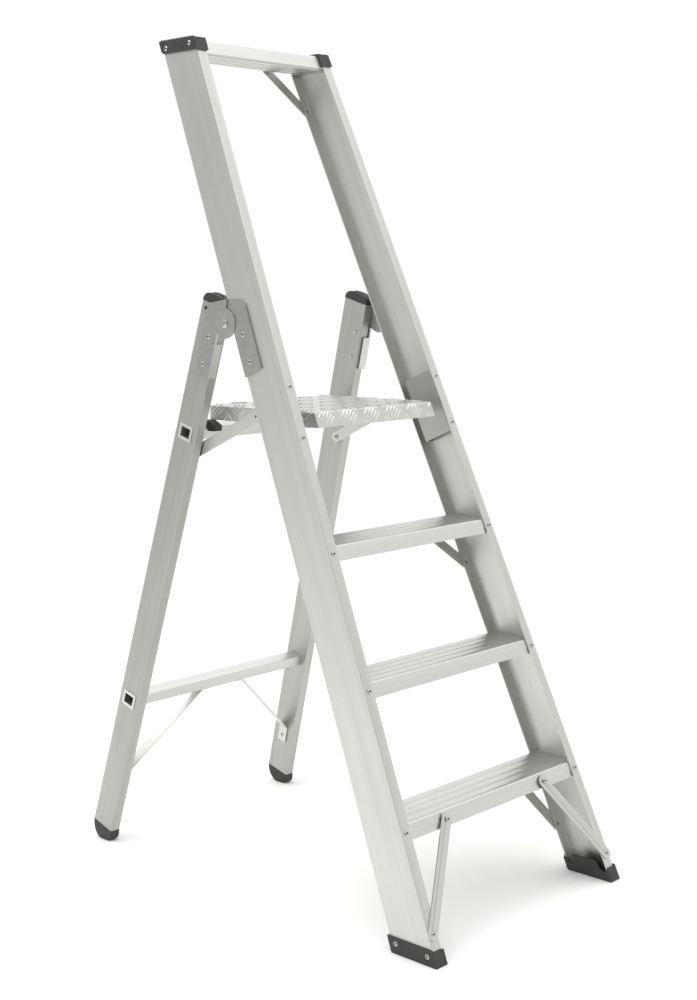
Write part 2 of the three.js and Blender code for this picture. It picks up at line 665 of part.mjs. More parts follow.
const railRow = [["rear_rail_upper", rail.upperZ], ["rear_rail_lower", rail.lowerZ]];
const railAlong = (z) => (z - railCentre * legSlope.sin) / legSlope.cos;

/** The rectangle of a rear rail in a leg's side view. */
function railBox(z, grow) {
  const middle = railAlong(z);
  const halfDepth = rail.depth / 2 + grow;
  const halfHeight = rail.height / 2 + grow;
  return [railCentre - halfDepth, railCentre + halfDepth, middle - halfHeight, middle + halfHeight];
}

function buildLegs() {
  const { cornerRadius, width, depth, wall, bottom, length } = leg;
  const section = rectangle(0, width, 0, depth, cornerRadius);
  section.holes.push(rectangle(wall, width - wall, wall, depth - wall));
  const tube = extrude(section, bottom, bottom + length, 3);
  const windows = railRow.map(([, z]) => extrudeAcross(rectangle(...railBox(z, gap)), -5, width + 5));
  sides.forEach(([hand, side]) => {
    const placedTube = place(cut(tube, ...windows), legSquare(side));
    const { x, y, z } = linkLow;
    const hole = sideDisc(side, rivet.shank + gap, x, x + leg.width / 2, y, z);
    add(`leg_${hand}`, cut(placedTube, hole), millAluminium);
  });
}

/** A rear rail: a tube through both legs, with its ends flared over their outer faces. */
function buildRearRails() {
  const toLegFace = (offset) => (u, v) => legOuter(u * legSlope.cos + v * legSlope.sin) + offset;
  railRow.forEach(([name, z]) => {
    // Drawn across, along the leg and square to it, as the leg plane is.
    const section = (grow, radius) => {
      const [v0, v1, u0, u1] = railBox(z, grow);
      return rectangle(u0, u1, v0, v1, radius);
    };
    const rimFace = toLegFace(gap + rail.rimThickness);
    const tube = between(section(0, 1.5), rimFace, 2);
    const rims = sides.map(([, side]) => {
      const plate = between(section(rail.rim, 2), rimFace, 2);
      const inner = between(section(rail.rim + 5), toLegFace(gap));
      return common(cut(plate, inner), sideDisc(side, 2 * leg.length, gap, stile.halfWidth, 0, 0));
    });
    const bore = between(section(-rail.wall), toLegFace(10));
    const shape = cut(join(tube, ...rims), bore);
    add(name, place(shape, legPlane), millAluminium);
  });
}

/** Black plug in the top of a leg: an arched head on a sleeve. */
function buildLegCaps() {
  const { width, depth, wall, bottom, length } = leg;
  const { rise, shoulder, bulge, sleeve, ridge, ridgeMargin, ridgeRise } = legCap;
  const top = bottom + length;
  const crown = top + rise;
  const head = new THREE.Shape();
  head.moveTo(0, top + gap);
  head.lineTo(depth, top + gap);
  head.lineTo(depth, top + shoulder);
  head.bezierCurveTo(depth - 4, crown, depth - bulge, crown, depth / 2, crown);
  head.bezierCurveTo(bulge, crown, 4, crown, 0, top + shoulder);
  const arch = extrudeAcross(head, 0, width, 8);
  const ridgeShape = outline([
    [ridgeMargin, top + shoulder], [depth - ridgeMargin, top + shoulder],
    [depth - ridgeMargin - 2, crown + ridgeRise, 2], [ridgeMargin + 2, crown + ridgeRise, 2],
  ]);
  const rib = extrudeAcross(ridgeShape, (width - ridge) / 2, (width + ridge) / 2);
  const near = wall + gap;
  const far = near + plugWall;
  const stem = block(near, width - near, near, depth - near, top - sleeve, top + 2);
  const hollow = block(far, width - far, far, depth - far, top - sleeve - 5, top - 2);
  const shape = cut(join(arch, rib, stem), hollow);
  sides.forEach(([hand, side]) => add(`leg_cap_${hand}`, place(shape, legSquare(side)), blackPlastic));
}

/** Black plug in the bottom of a leg, with a rounded sole that stands on the ground. */
function buildLegFeet() {
  const { width, depth, wall, bottom } = leg;
  const { sleeve, side: sideDrop, toe, flat } = legFoot;
  const [frontY, frontZ] = onLeg(0, bottom - gap);
  const [backY, backZ] = onLeg(depth, bottom - gap);
  const sole = new THREE.Shape();
  sole.moveTo(frontY, frontZ);
  sole.lineTo(frontY + 1, frontZ - sideDrop);
  sole.bezierCurveTo(frontY + 3, 2, frontY + 8, 0, frontY + toe, 0);
  sole.lineTo(frontY + toe + flat, 0);
  sole.bezierCurveTo(backY - 10, 3, backY - 1, 16, backY, backZ - sideDrop);
  sole.lineTo(backY, backZ);
  const near = wall + gap;
  const far = near + plugWall;
  sides.forEach(([hand, side]) => {
    const base = place(extrudeAcross(sole, 0, width, 8), sideView(leg, side, -1));
    const stem = block(near, width - near, near, depth - near, bottom - 2, bottom + sleeve);
    const hollow = block(far, width - far, far, depth - far, bottom + 4, bottom + sleeve + 5);
    add(`leg_foot_${hand}`, join(base, place(cut(stem, hollow), legSquare(side))), blackPlastic);
  });
}

/** A strip of even thickness along a bent path of the plane's first two coordinates. */
function strip(path, thickness) {
  const offset = path.map((point, i) => {
    const before = path[Math.max(i - 1, 0)];
    const after = path[Math.min(i + 1, path.length - 1)];
    const into = new THREE.Vector2(point[0] - before[0], point[1] - before[1]).normalize();
    const out = new THREE.Vector2(after[0] - point[0], after[1] - point[1]).normalize();
    if (i === 0) into.copy(out);
    if (i === path.length - 1) out.copy(into);
    const along = into.clone().add(out).normalize();
    const reach = thickness / Math.max(along.dot(into), 0.3);
    return [point[0] - along.y * reach, point[1] + along.x * reach];
  });
  return outline([...path, ...offset.reverse()]);
}

/** Flat struts from under the lower rear rail to the legs' inner faces, with bent tabs. */
function buildRearBraces() {
  const { thickness, railEnd, tab, width } = rearBrace;
  const railUnder = railAlong(rail.lowerZ) - rail.height / 2 - gap;
  const back = railCentre + width / 2;
  const faceAt = (along) => legOuter(along * legSlope.cos + back * legSlope.sin) - leg.width - gap;
  const legEnd = railAlong(rearBraceFoot.height);
  const bend = legEnd + rearBraceFoot.rise;
  const tip = legEnd - rearBraceFoot.drop;
  const path = [
    [railEnd, railUnder - thickness], [railEnd + tab, railUnder - thickness],
    [faceAt(bend) - thickness, bend], [faceAt(tip) - thickness, tip],
  ];
  const shape = strip(path, thickness);
  const bar = extrude(shape, railCentre - width / 2, railCentre + width / 2);
  const mirror = new THREE.Matrix4().makeScale(-1, 1, 1);
  add("rear_brace_left", place(place(bar, mirror), legPlane), millAluminium);
  add("rear_brace_right", place(bar, legPlane), millAluminium);
}

/** Black pads on the upper rear rail, on which the platform rests. */
function buildRestPads() {
  const high = platform.top - platform.apron - gap;
  const { x, width, beforeRail, behindRail, height } = restPad;
  const [railY] = onLeg(railCentre, railAlong(rail.upperZ));
  const front = railY - beforeRail;
  const back = railY + behindRail;
  const bottom = high - height;
  const { run, drop } = restPadChamfer;
  const points = [[front, bottom, 2], [back, bottom], [back, high, 2]];
  points.push([front + run, high], [front, high - drop, 2]);
  const [v0, v1, u0, u1] = railBox(rail.upperZ, gap);
  const seat = place(between(rectangle(u0, u1, v0, v1), () => legOuter(0)), legPlane);
  const below = outline([onLeg(v0, u1), onLeg(v0, u0), onLeg(v1, u0 - rail.height), [back + 9, bottom - 9],
    [back + 9, high - drop], onLeg(v1, u1)]);
  const room = extrudeAcross(below, -legOuter(0), legOuter(0));
  sides.forEach(([hand, side]) => {
    const body = extrudeAcross(outline(points), side * x - width / 2, side * x + width / 2);
    add(`rest_pad_${hand}`, cut(body, seat, room), blackPlastic);
  });
}

// ---------------------------------------------------------------- platform and links

/** A tray bent from checker plate, open below, whose front apron follows the stiles. */
function buildPlatform() {
  const { top, halfWidth, depth, apron, wall, bend } = platform;
  const front = stile.lean * top - 0.2;
  const back = front + depth;
  const low = top - apron;
  const lowFront = front - stile.lean * apron;
  const profile = outline([[lowFront, low], [back, low], [back, top, bend], [front, top, bend]]);
  const corners = [[-halfWidth, low], [halfWidth, low], [halfWidth, top, bend], [-halfWidth, top, bend]];
  const turn = new THREE.Matrix4().set(1, 0, 0, 0, 0, 0, -1, 0, 0, 1, 0, 0, 0, 0, 0, 1);
  const body = common(
    extrudeAcross(profile, -halfWidth, halfWidth, 5),
    extrude(outline(corners), -back - 20, -lowFront + 20, 5).applyMatrix4(turn),
  );
  const innerTop = top - wall;
  const slopeWall = wall / stileSlope.cos;
  const hollowSide = outline([
    [lowFront + slopeWall - stile.lean, low - 1], [back - wall, low - 1],
    [back - wall, innerTop, 2], [front + slopeWall - stile.lean * wall, innerTop, 2],
  ]);
  const hollow = extrudeAcross(hollowSide, -halfWidth + wall, halfWidth - wall);
  const { y, z } = platformPivot;
  const pivotHole = roundAcross(pivotRivet.shank + gap, -halfWidth - 1, halfWidth + 1, y, z, 16);
  add("platform_plate", cut(body, hollow, pivotHole), checkerPlate);
}

/** A bush between two faces, around a pivot that runs across. */
function bushBetween(side, from, to, y, z, bore) {
  const [low, high] = side > 0 ? [from, to] : [-to, -from];
  const shape = new THREE.Shape().absarc(y, z, bush.radius, 0, 2 * Math.PI);
  shape.holes.push(new THREE.Path().absarc(y, z, bore + bush.clearance, 0, 2 * Math.PI));
  return extrudeAcross(shape, low, high, 12);
}

function buildPlatformPivots() {
  const near = platform.halfWidth + gap;
  const insertFace = stileOuter(platformPivot.z + 10) - insert.face;
  const innerWall = platform.halfWidth - platform.wall;
  const farWall = stileOuter(platformPivot.z - 10) - insert.face + insert.wall;
  sides.forEach(([hand, side]) => {
    const { y, z } = platformPivot;
    const spacer = bushBetween(side, near, insertFace - gap, y, z, pivotRivet.shank);
    add(`platform_bush_${hand}`, spacer, millAluminium);
    // The domed head is inside the platform's apron and the flat tail is inside the insert.
    const grip = farWall - innerWall;
    const turned = sideRivet(pivotRivet, -side, -innerWall, grip, y, z);
    add(`platform_pivot_${hand}`, turned, steelRivet);
  });
}

/** Links with a small lip, each with a rivet at the leg and a rivet with a bush at the platform. */
function buildLinks() {
  const way = new THREE.Vector2(linkHigh.y - linkLow.y, linkHigh.z - linkLow.z);
  const length = way.length();
  const half = link.width / 2;
  const shape = outline([
    [-link.endReach, -half, 9], [length + link.endReach, -half, 9],
    [length + link.endReach, half, 9], [-link.endReach, half, 9],
  ]);
  // The link runs forwards, so its lower edge is on the positive side of its own direction.
  const lip = rectangle(link.lipStart, link.lipEnd, half - link.thickness, half);
  const plate = join(extrudeAcross(shape, -link.thickness, 0), extrudeAcross(lip, -1, link.lip));
  const hole = roundAcross(rivet.shank + gap, -20, 20, 0, 0, 16);
  const farHole = roundAcross(rivet.shank + gap, -20, 20, length, 0, 16);
  const drilled = cut(plate, hole, farHole);
  const [cos, sin] = [way.x / length, way.y / length];
  const pull = (linkHigh.x - linkLow.x) / length;
  sides.forEach(([hand, side]) => {
    const matrix = new THREE.Matrix4().set(
      side, side * pull, 0, side * linkLow.x,
      0, cos, -sin, linkLow.y,
      0, sin, cos, linkLow.z,
      0, 0, 0, 1,
    );
    add(`link_${hand}`, place(drilled, matrix), millAluminium);
    const lowInside = linkLow.x - link.thickness - link.slack;
    const legWall = legOuter(linkLow.z - 5) - leg.width + leg.wall;
    const lowRivet = sideRivet(rivet, -side, -lowInside, legWall - lowInside, linkLow.y, linkLow.z);
    add(`link_leg_rivet_${hand}`, lowRivet, steelRivet);
    const highInside = linkHigh.x - link.thickness - link.slack;
    const nearPlatform = platform.halfWidth + 2 * gap;
    const upperBush = bushBetween(side, nearPlatform + rivet.tailHeight + gap, highInside - gap, linkHigh.y,
      linkHigh.z, rivet.shank);
    add(`link_bush_${hand}`, upperBush, millAluminium);
    const highOutside = linkHigh.x + link.slack;
    const highGrip = highOutside - nearPlatform - rivet.tailHeight;
    const highRivet = sideRivet(rivet, side, highOutside, highGrip, linkHigh.y, linkHigh.z);
    add(`link_platform_rivet_${hand}`, highRivet, steelRivet);
  });
}

// ---------------------------------------------------------------- the ladder

buildStiles();
buildTreads();
buildTreadRivets();
buildTopRail();
buildStileCaps();
buildStileFeet();
buildStileInserts();
buildFrontBraces();
buildBackBraces();
buildStileHingePlates();
buildLegHingePlates();
buildHingeRivets();
buildLegs();
buildRearRails();
buildLegCaps();
buildLegFeet();
buildRearBraces();
buildRestPads();
buildPlatform();
buildPlatformPivots();
buildLinks();

// The pieces are drawn behind the stiles' front plane, and the origin is under the middle.
const extent = new THREE.Box3().setFromObject(ladder);
ladder.position.y = -(extent.min.y + extent.max.y) / 2;

export default ladder;
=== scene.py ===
"""Folding step ladder with a standing platform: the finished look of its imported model.

Metres, +Z up, the front towards -Y. Each CAD piece is replaced by a copy of itself with its
doubles merged and its edges softened, and the pop rivets and the raised bars of the tread
plate are modelled here. Sizes in the classes are in millimetres.
"""

import logging
import math
from collections.abc import Callable, Iterable
from dataclasses import dataclass, field
from enum import Enum
from typing import Any

import bmesh
import bpy
from mathutils import Matrix, Vector


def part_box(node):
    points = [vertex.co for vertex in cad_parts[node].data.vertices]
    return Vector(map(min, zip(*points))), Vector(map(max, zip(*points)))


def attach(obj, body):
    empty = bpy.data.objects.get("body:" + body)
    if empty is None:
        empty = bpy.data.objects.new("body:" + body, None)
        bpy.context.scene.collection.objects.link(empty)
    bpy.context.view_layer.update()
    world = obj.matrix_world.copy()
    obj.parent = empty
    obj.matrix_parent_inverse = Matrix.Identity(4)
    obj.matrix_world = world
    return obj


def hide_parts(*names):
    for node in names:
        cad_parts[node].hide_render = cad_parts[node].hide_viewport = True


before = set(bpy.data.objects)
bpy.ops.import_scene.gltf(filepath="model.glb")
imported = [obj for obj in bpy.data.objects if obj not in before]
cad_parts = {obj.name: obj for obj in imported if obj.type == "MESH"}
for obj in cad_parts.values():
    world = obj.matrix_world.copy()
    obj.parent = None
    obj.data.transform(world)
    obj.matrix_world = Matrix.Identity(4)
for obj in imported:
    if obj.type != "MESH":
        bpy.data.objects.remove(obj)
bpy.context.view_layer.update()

Object = bpy.types.Object
Tree = bpy.types.NodeTree
Node = bpy.types.Node
Socket = bpy.types.NodeSocket

MM = 0.001
MERGE_DISTANCE = 0.01 * MM
FLAT_ANGLE = math.radians(0.4)
SOFTEN_ANGLE = math.radians(32)
SMOOTH_ANGLE = math.radians(46)
ROUND_ANGLE = math.radians(40)
BAR_ANGLE = math.radians(50)
FLAT = 1e-6
END_DEPTH = 2.6 * MM

log = logging.getLogger("step_ladder")


class Side(Enum):
    """The two hands of the ladder, with the sign of X on each."""

    LEFT = -1
    RIGHT = 1

    @property
    def hand(self) -> str:
        """The word that piece names use."""
        return self.name.lower()


class Slot(Enum):
    """The material slots of the record."""

    MILL = "mill_aluminium"
    BRIGHT = "bright_aluminium"
    TREAD_PLATE = "checker_plate"
    HINGE_PLATE = "hinge_plate"
    RIVET = "rivet"
    PLASTIC = "black_plastic"


# ---- finishes


def linear(colour: str) -> tuple[float, float, float, float]:
    """Turns an sRGB hex colour into linear light.

    Args:
        colour: A colour such as "#c8c9c6".

    Returns:
        Red, green, blue and an alpha of 1.
    """
    parts = [int(colour[i : i + 2], 16) / 255 for i in (1, 3, 5)]
    light = [p / 12.92 if p <= 0.04045 else ((p + 0.055) / 1.055) ** 2.4 for p in parts]
    return (light[0], light[1], light[2], 1.0)


def per_mm(*sizes: float) -> tuple[float, ...]:
    """Pattern scales on metre coordinates for features of these sizes in millimetres."""
    return tuple(1 / (size * MM) for size in sizes)


def add_node(
    tree: Tree,
    kind: str,
    settings: dict[str, Any] | None = None,
    inputs: dict[str | int, Any] | None = None,
) -> Node:
    """Adds a shader node with its settings, its socket values and its links.

    Args:
        tree: The node tree.
        kind: The node's type name.
        settings: Properties of the node.
        inputs: Socket names or numbers, each with a value or with the output to link.

    Returns:
        The node.
    """
    node = tree.nodes.new(kind)
    for name, value in (settings or {}).items():
        setattr(node, name, value)
    for name, value in (inputs or {}).items():
        if isinstance(value, Socket):
            tree.links.new(value, node.inputs[name])
        else:
            node.inputs[name].default_value = value
    return node


def noise(
    tree: Tree,
    where: Socket,
    sizes: tuple[float, float, float],
    detail: float,
) -> Socket:
    """A noise pattern whose features have the given sizes in millimetres along each coordinate."""
    mapping = add_node(
        tree, "ShaderNodeMapping", inputs={"Vector": where, "Scale": per_mm(*sizes)}
    )
    pattern = add_node(
        tree,
        "ShaderNodeTexNoise",
        inputs={"Vector": mapping.outputs["Vector"], "Scale": 1.0, "Detail": detail},
    )
    return pattern.outputs["Fac"]


def ranged(
    tree: Tree,
    value: Socket,
    source: tuple[float, float],
    target: tuple[float, float],
) -> Socket:
    """Takes a value from one range to another and clamps it."""
    inputs = {"Value": value, "From Min": source[0], "From Max": source[1]}
    inputs |= {"To Min": target[0], "To Max": target[1]}
    return add_node(tree, "ShaderNodeMapRange", inputs=inputs).outputs["Result"]


def spread(
    tree: Tree, value: Socket, low: float, high: float
) -> Socket:
    """Stretches the middle of a noise pattern over the range from low to high."""
    return ranged(tree, value, (0.3, 0.7), (low, high))


def total(tree: Tree, first: Any, second: Any) -> Socket:
    """The sum of two values."""
    node = add_node(tree, "ShaderNodeMath", {"operation": "ADD"}, {0: first, 1: second})
    return node.outputs[0]


def place_on(tree: Tree) -> Socket:
    """The piece's own coordinates."""
    return add_node(tree, "ShaderNodeTexCoord").outputs["Object"]


def paint(
    tree: Tree,
    shader: Node,
    share: Socket,
    colours: tuple[str, str],
) -> None:
    """Colours the shader with a blend of two hex colours by a share."""
    inputs = {0: share, 6: linear(colours[0]), 7: linear(colours[1])}
    blend = add_node(tree, "ShaderNodeMix", {"data_type": "RGBA"}, inputs)
    tree.links.new(blend.outputs[2], shader.inputs["Base Color"])


def emboss(
    tree: Tree,
    shader: Node,
    height: Socket,
    strength: float,
    depth: float,
) -> None:
    """Gives the shader a fine relief.

    Args:
        tree: The node tree.
        shader: The shader.
        height: The relief's pattern.
        strength: Its strength.
        depth: Its depth in millimetres.
    """
    inputs = {"Height": height, "Strength": strength, "Distance": depth * MM}
    relief = add_node(tree, "ShaderNodeBump", inputs=inputs)
    tree.links.new(relief.outputs["Normal"], shader.inputs["Normal"])


class Finish:
    """A finish that makes one shared material, on first use."""

    label: str

    def material(self) -> bpy.types.Material:
        """The finish's material, made once."""
        found = bpy.data.materials.get(self.label)
        if found is not None:
            return found
        material = bpy.data.materials.new(self.label)
        material.use_nodes = True
        tree = material.node_tree
        tree.nodes.clear()
        shader = add_node(tree, "ShaderNodeBsdfPrincipled")
        add_node(tree, "ShaderNodeOutputMaterial", inputs={"Surface": shader.outputs[0]})
        self.dress(tree, shader)
        return material

    def dress(self, tree: Tree, shader: Node) -> None:
        """Sets the shader's sockets; each finish has its own."""
        raise NotImplementedError


@dataclass(frozen=True)
class ExtrudedAluminium(Finish):
    """Aluminium pressed through a die: fine lines run along the length of the piece.

    The lines give it a silky grey look that is streaked one way, and handling leaves cloudy
    patches. The lines are drawn a few millimetres wide, coarser than the real 0.3 mm, so that
    they show at the ladder's full height.
    """

    label: str
    colour: str
    streak: str
    roughness: float
    line_width: float = 2.2
    line_length: float = 420.0
    band_width: float = 14.0
    band_length: float = 900.0
    patch: float = 90.0
    line_depth: float = 0.03

    def dress(self, tree: Tree, shader: Node) -> None:
        """Lines along the piece's own grain, in colour, roughness and relief."""
        grain = add_node(tree, "ShaderNodeAttribute", {"attribute_name": "grain"}).outputs["Vector"]
        lines = noise(tree, grain, (self.line_length, self.line_width, self.line_width), 3.0)
        bands = noise(tree, grain, (self.band_length, self.band_width, self.band_width), 1.0)
        patches = noise(tree, grain, (self.patch * 2, self.patch, self.patch), 2.0)
        share = total(tree, spread(tree, lines, 0.0, 0.55), spread(tree, bands, 0.0, 0.45))
        paint(tree, shader, share, (self.colour, self.streak))
        shader.inputs["Metallic"].default_value = 1.0
        sheen = spread(tree, lines, self.roughness - 0.04, self.roughness + 0.04)
        rough = total(tree, sheen, spread(tree, patches, -0.03, 0.05))
        tree.links.new(rough, shader.inputs["Roughness"])
        emboss(tree, shader, lines, 0.35, self.line_depth)


@dataclass(frozen=True)
class RolledTreadPlate(Finish):
    """Rolled aluminium tread plate: a fine matt roll grain with soft patches."""

    label: str
    colour: str
    shade: str
    roughness: float

    def dress(self, tree: Tree, shader: Node) -> None:
        """A roll grain of 3 mm and soft patches of 40 mm."""
        place = place_on(tree)
        grit = noise(tree, place, (9.0, 3.0, 3.0), 3.0)
        patches = noise(tree, place, (40.0, 40.0, 40.0), 2.0)
        paint(tree, shader, spread(tree, patches, 0.0, 1.0), (self.colour, self.shade))
        shader.inputs["Metallic"].default_value = 1.0
        rough = spread(tree, grit, self.roughness - 0.05, self.roughness + 0.08)
        tree.links.new(rough, shader.inputs["Roughness"])
        emboss(tree, shader, grit, 0.3, 0.05)


@dataclass(frozen=True)
class PlatedSteel(Finish):
    """Zinc-plated pressed steel: a dull grey with a faint mottle and a soft sheen."""

    label: str
    colour: str
    mottle: str
    roughness: float

    def dress(self, tree: Tree, shader: Node) -> None:
        """Mottling of 12 mm over a fine tumbled grain of 1.2 mm."""
        place = place_on(tree)
        cloud = noise(tree, place, (12.0, 12.0, 12.0), 3.0)
        grain = noise(tree, place, (1.2, 1.2, 1.2), 2.0)
        paint(tree, shader, spread(tree, cloud, 0.0, 1.0), (self.colour, self.mottle))
        shader.inputs["Metallic"].default_value = 0.85
        rough = spread(tree, cloud, self.roughness - 0.05, self.roughness + 0.07)
        tree.links.new(rough, shader.inputs["Roughness"])
        emboss(tree, shader, grain, 0.25, 0.04)


@dataclass(frozen=True)
class BarrelledMetal(Finish):
    """Barrel-polished rivet metal: bright and smooth, with slight differences in sheen."""

    label: str
    colour: str
    roughness: float

    def dress(self, tree: Tree, shader: Node) -> None:
        """A plain colour with a tumbling mark of 1.5 mm in the sheen."""
        place = place_on(tree)
        marks = noise(tree, place, (1.5, 1.5, 1.5), 2.0)
        shader.inputs["Base Color"].default_value = linear(self.colour)
        shader.inputs["Metallic"].default_value = 1.0
        rough = spread(tree, marks, self.roughness - 0.04, self.roughness + 0.08)
        tree.links.new(rough, shader.inputs["Roughness"])


@dataclass(frozen=True)
class MouldedPlastic(Finish):
    """Polypropylene from a spark-eroded mould: a matt grain, greyer where it has been rubbed."""

    label: str
    colour: str
    rubbed: str
    roughness: float

    def dress(self, tree: Tree, shader: Node) -> None:
        """A mould grain of 0.9 mm and rubbed patches of 25 mm."""
        place = place_on(tree)
        grain = noise(tree, place, (0.9, 0.9, 0.9), 2.0)
        rub = noise(tree, place, (25.0, 25.0, 25.0), 3.0)
        paint(tree, shader, spread(tree, rub, 0.0, 1.0), (self.colour, self.rubbed))
        shader.inputs["IOR"].default_value = 1.49
        rough = spread(tree, rub, self.roughness - 0.06, self.roughness + 0.08)
        tree.links.new(rough, shader.inputs["Roughness"])
        emboss(tree, shader, grain, 0.4, 0.08)


@dataclass(frozen=True)
class MattCard(Finish):
    """Matt white card under the ladder, with the faintest paper cloud."""

    label: str
    colour: str
    cloud: str

    def dress(self, tree: Tree, shader: Node) -> None:
        """A cloud of 600 mm in the white."""
        place = place_on(tree)
        cloud = noise(tree, place, (600.0, 600.0, 600.0), 1.0)
        paint(tree, shader, spread(tree, cloud, 0.0, 1.0), (self.colour, self.cloud))
        shader.inputs["Roughness"].default_value = 0.95
        shader.inputs["Specular IOR Level"].default_value = 0.1


MILL = ExtrudedAluminium("Mill-finish extruded aluminium", "#d8d7d4", "#cccbc8", 0.42)
# The legs and the inserts are given a greyer copy of the mill finish than the stiles.
DULL = ExtrudedAluminium("Dull mill-finish extruded aluminium", "#bcbbb8", "#b0afac", 0.46)
BRIGHT = ExtrudedAluminium("Etched extruded aluminium", "#dfdfdc", "#d6d6d3", 0.36, 3.0)
TREAD_PLATE = RolledTreadPlate("Rolled aluminium tread plate", "#d3d4d1", "#c8c9c6", 0.42)
# Shoes rub the tops of the bars brighter than the sheet between them, and the whole bars are also
# painted lighter: a painted highlight for the light that the raised bars catch.
TREAD_BARS = RolledTreadPlate("Worn bright tread plate bars", "#eeeeeb", "#e2e2df", 0.26)
HINGE_PLATE = PlatedSteel("Zinc-plated pressed steel", "#aeafab", "#a2a39f", 0.44)
RIVET = BarrelledMetal("Barrel-polished rivet aluminium", "#c0c1be", 0.26)
MANDREL = BarrelledMetal("Snapped rivet mandrel steel", "#4b4c4a", 0.5)
PLASTIC = MouldedPlastic("Moulded black polypropylene", "#2b2b29", "#3a3a37", 0.48)
CARD = MattCard("Matt white card", "#fbfbf9", "#f8f8f6")


# ---- modelling helpers


def choose(*objects: Object) -> None:
    """Selects just these objects and makes the first the active one."""
    bpy.ops.object.select_all(action="DESELECT")
    for each in objects:
        each.select_set(True)
    bpy.context.view_layer.objects.active = objects[0]


def new_object(name: str, data: bpy.types.ID) -> Object:
    """A new object in the scene with its data."""
    obj = bpy.data.objects.new(name, data)
    bpy.context.scene.collection.objects.link(obj)
    return obj


def edit(obj: Object, *steps: Callable[[], Any]) -> None:
    """Runs the steps in edit mode on one object.

    Args:
        obj: The object to edit.
        steps: Calls without arguments, in order.
    """
    choose(obj)
    bpy.ops.object.mode_set(mode="EDIT")
    bpy.ops.mesh.select_mode(type="FACE")
    for step in steps:
        step()
    bpy.ops.object.mode_set(mode="OBJECT")


def pick_faces(wanted: Callable[[bmesh.types.BMFace], bool]) -> None:
    """Selects in edit mode just the faces that pass a test."""
    mesh = bpy.context.edit_object.data
    faces = bmesh.from_edit_mesh(mesh).faces
    for face in faces:
        face.select_set(False)
    for face in faces:
        if wanted(face):
            face.select_set(True)
    bmesh.update_edit_mesh(mesh)


def apply_modifier(obj: Object, kind: str, **settings: Any) -> None:
    """Adds a modifier, sets it and applies it."""
    choose(obj)
    bpy.ops.object.modifier_add(type=kind)
    modifier = obj.modifiers[-1]
    for name, value in settings.items():
        setattr(modifier, name, value)
    bpy.ops.object.modifier_apply(modifier=modifier.name)


def soften(obj: Object, radius: float) -> None:
    """Rounds the hard edges of a closed piece and smooths its curved faces.

    Args:
        obj: The piece.
        radius: Edge radius in millimetres.
    """
    apply_modifier(
        obj,
        "BEVEL",
        width=radius * MM,
        segments=2,
        limit_method="ANGLE",
        angle_limit=SOFTEN_ANGLE,
        use_clamp_overlap=True,
    )
    choose(obj)
    bpy.ops.object.shade_smooth_by_angle(angle=SMOOTH_ANGLE)
    apply_modifier(obj, "WEIGHTED_NORMAL", keep_sharp=True)


def square_to(axis: Vector) -> tuple[Vector, Vector]:
    """Two unit vectors that are square to a unit vector and to each other."""
    helper = Vector((0, 0, 1)) if abs(axis.z) < 0.8 else Vector((1, 0, 0))
    second = axis.cross(helper).normalized()
    return second, axis.cross(second)


def set_grain(obj: Object, along: Vector) -> None:
    """Writes the piece's own coordinates, the first along its grain, as the attribute grain."""
    first = along.normalized()
    second, third = square_to(first)
    attribute = obj.data.attributes.new("grain", "FLOAT_VECTOR", "POINT")
    for vertex, value in zip(obj.data.vertices, attribute.data):
        value.vector = (vertex.co @ first, vertex.co @ second, vertex.co @ third)


def dress(obj: Object, body: str, slot: Slot, *finishes: Finish) -> None:
    """Gives a piece its finishes and lets it ride on its body."""
    if len(obj.data.materials) != len(finishes):
        obj.data.materials.clear()
        for _ in finishes:
            obj.data.materials.append(None)
    for i, finish in enumerate(finishes):
        obj.data.materials[i] = finish.material()
    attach(obj, body)


def finished_copy(node: str, radius: float) -> Object:
    """Copies a CAD piece, merges its triangles into faces and rounds its edges.

    Args:
        node: The CAD node.
        radius: Edge radius in millimetres.

    Returns:
        The copy, which stands for the node.
    """
    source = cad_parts[node]
    piece = new_object(f"finished_{node}", source.data.copy())
    piece.data.materials.clear()
    edit(
        piece,
        lambda: bpy.ops.mesh.select_all(action="SELECT"),
        lambda: bpy.ops.mesh.customdata_custom_splitnormals_clear(),
        lambda: bpy.ops.mesh.remove_doubles(threshold=MERGE_DISTANCE),
        lambda: bpy.ops.mesh.dissolve_limited(angle_limit=FLAT_ANGLE),
    )
    soften(piece, radius)
    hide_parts(node)
    return piece


def side_of(node: str) -> Side:
    """The side that a node's name ends with."""
    return Side.LEFT if node.endswith("left") else Side.RIGHT


def both(stem: str) -> list[str]:
    """The names of a left and right pair."""
    return [f"{stem}_{side.hand}" for side in Side]


# ---- leaning members


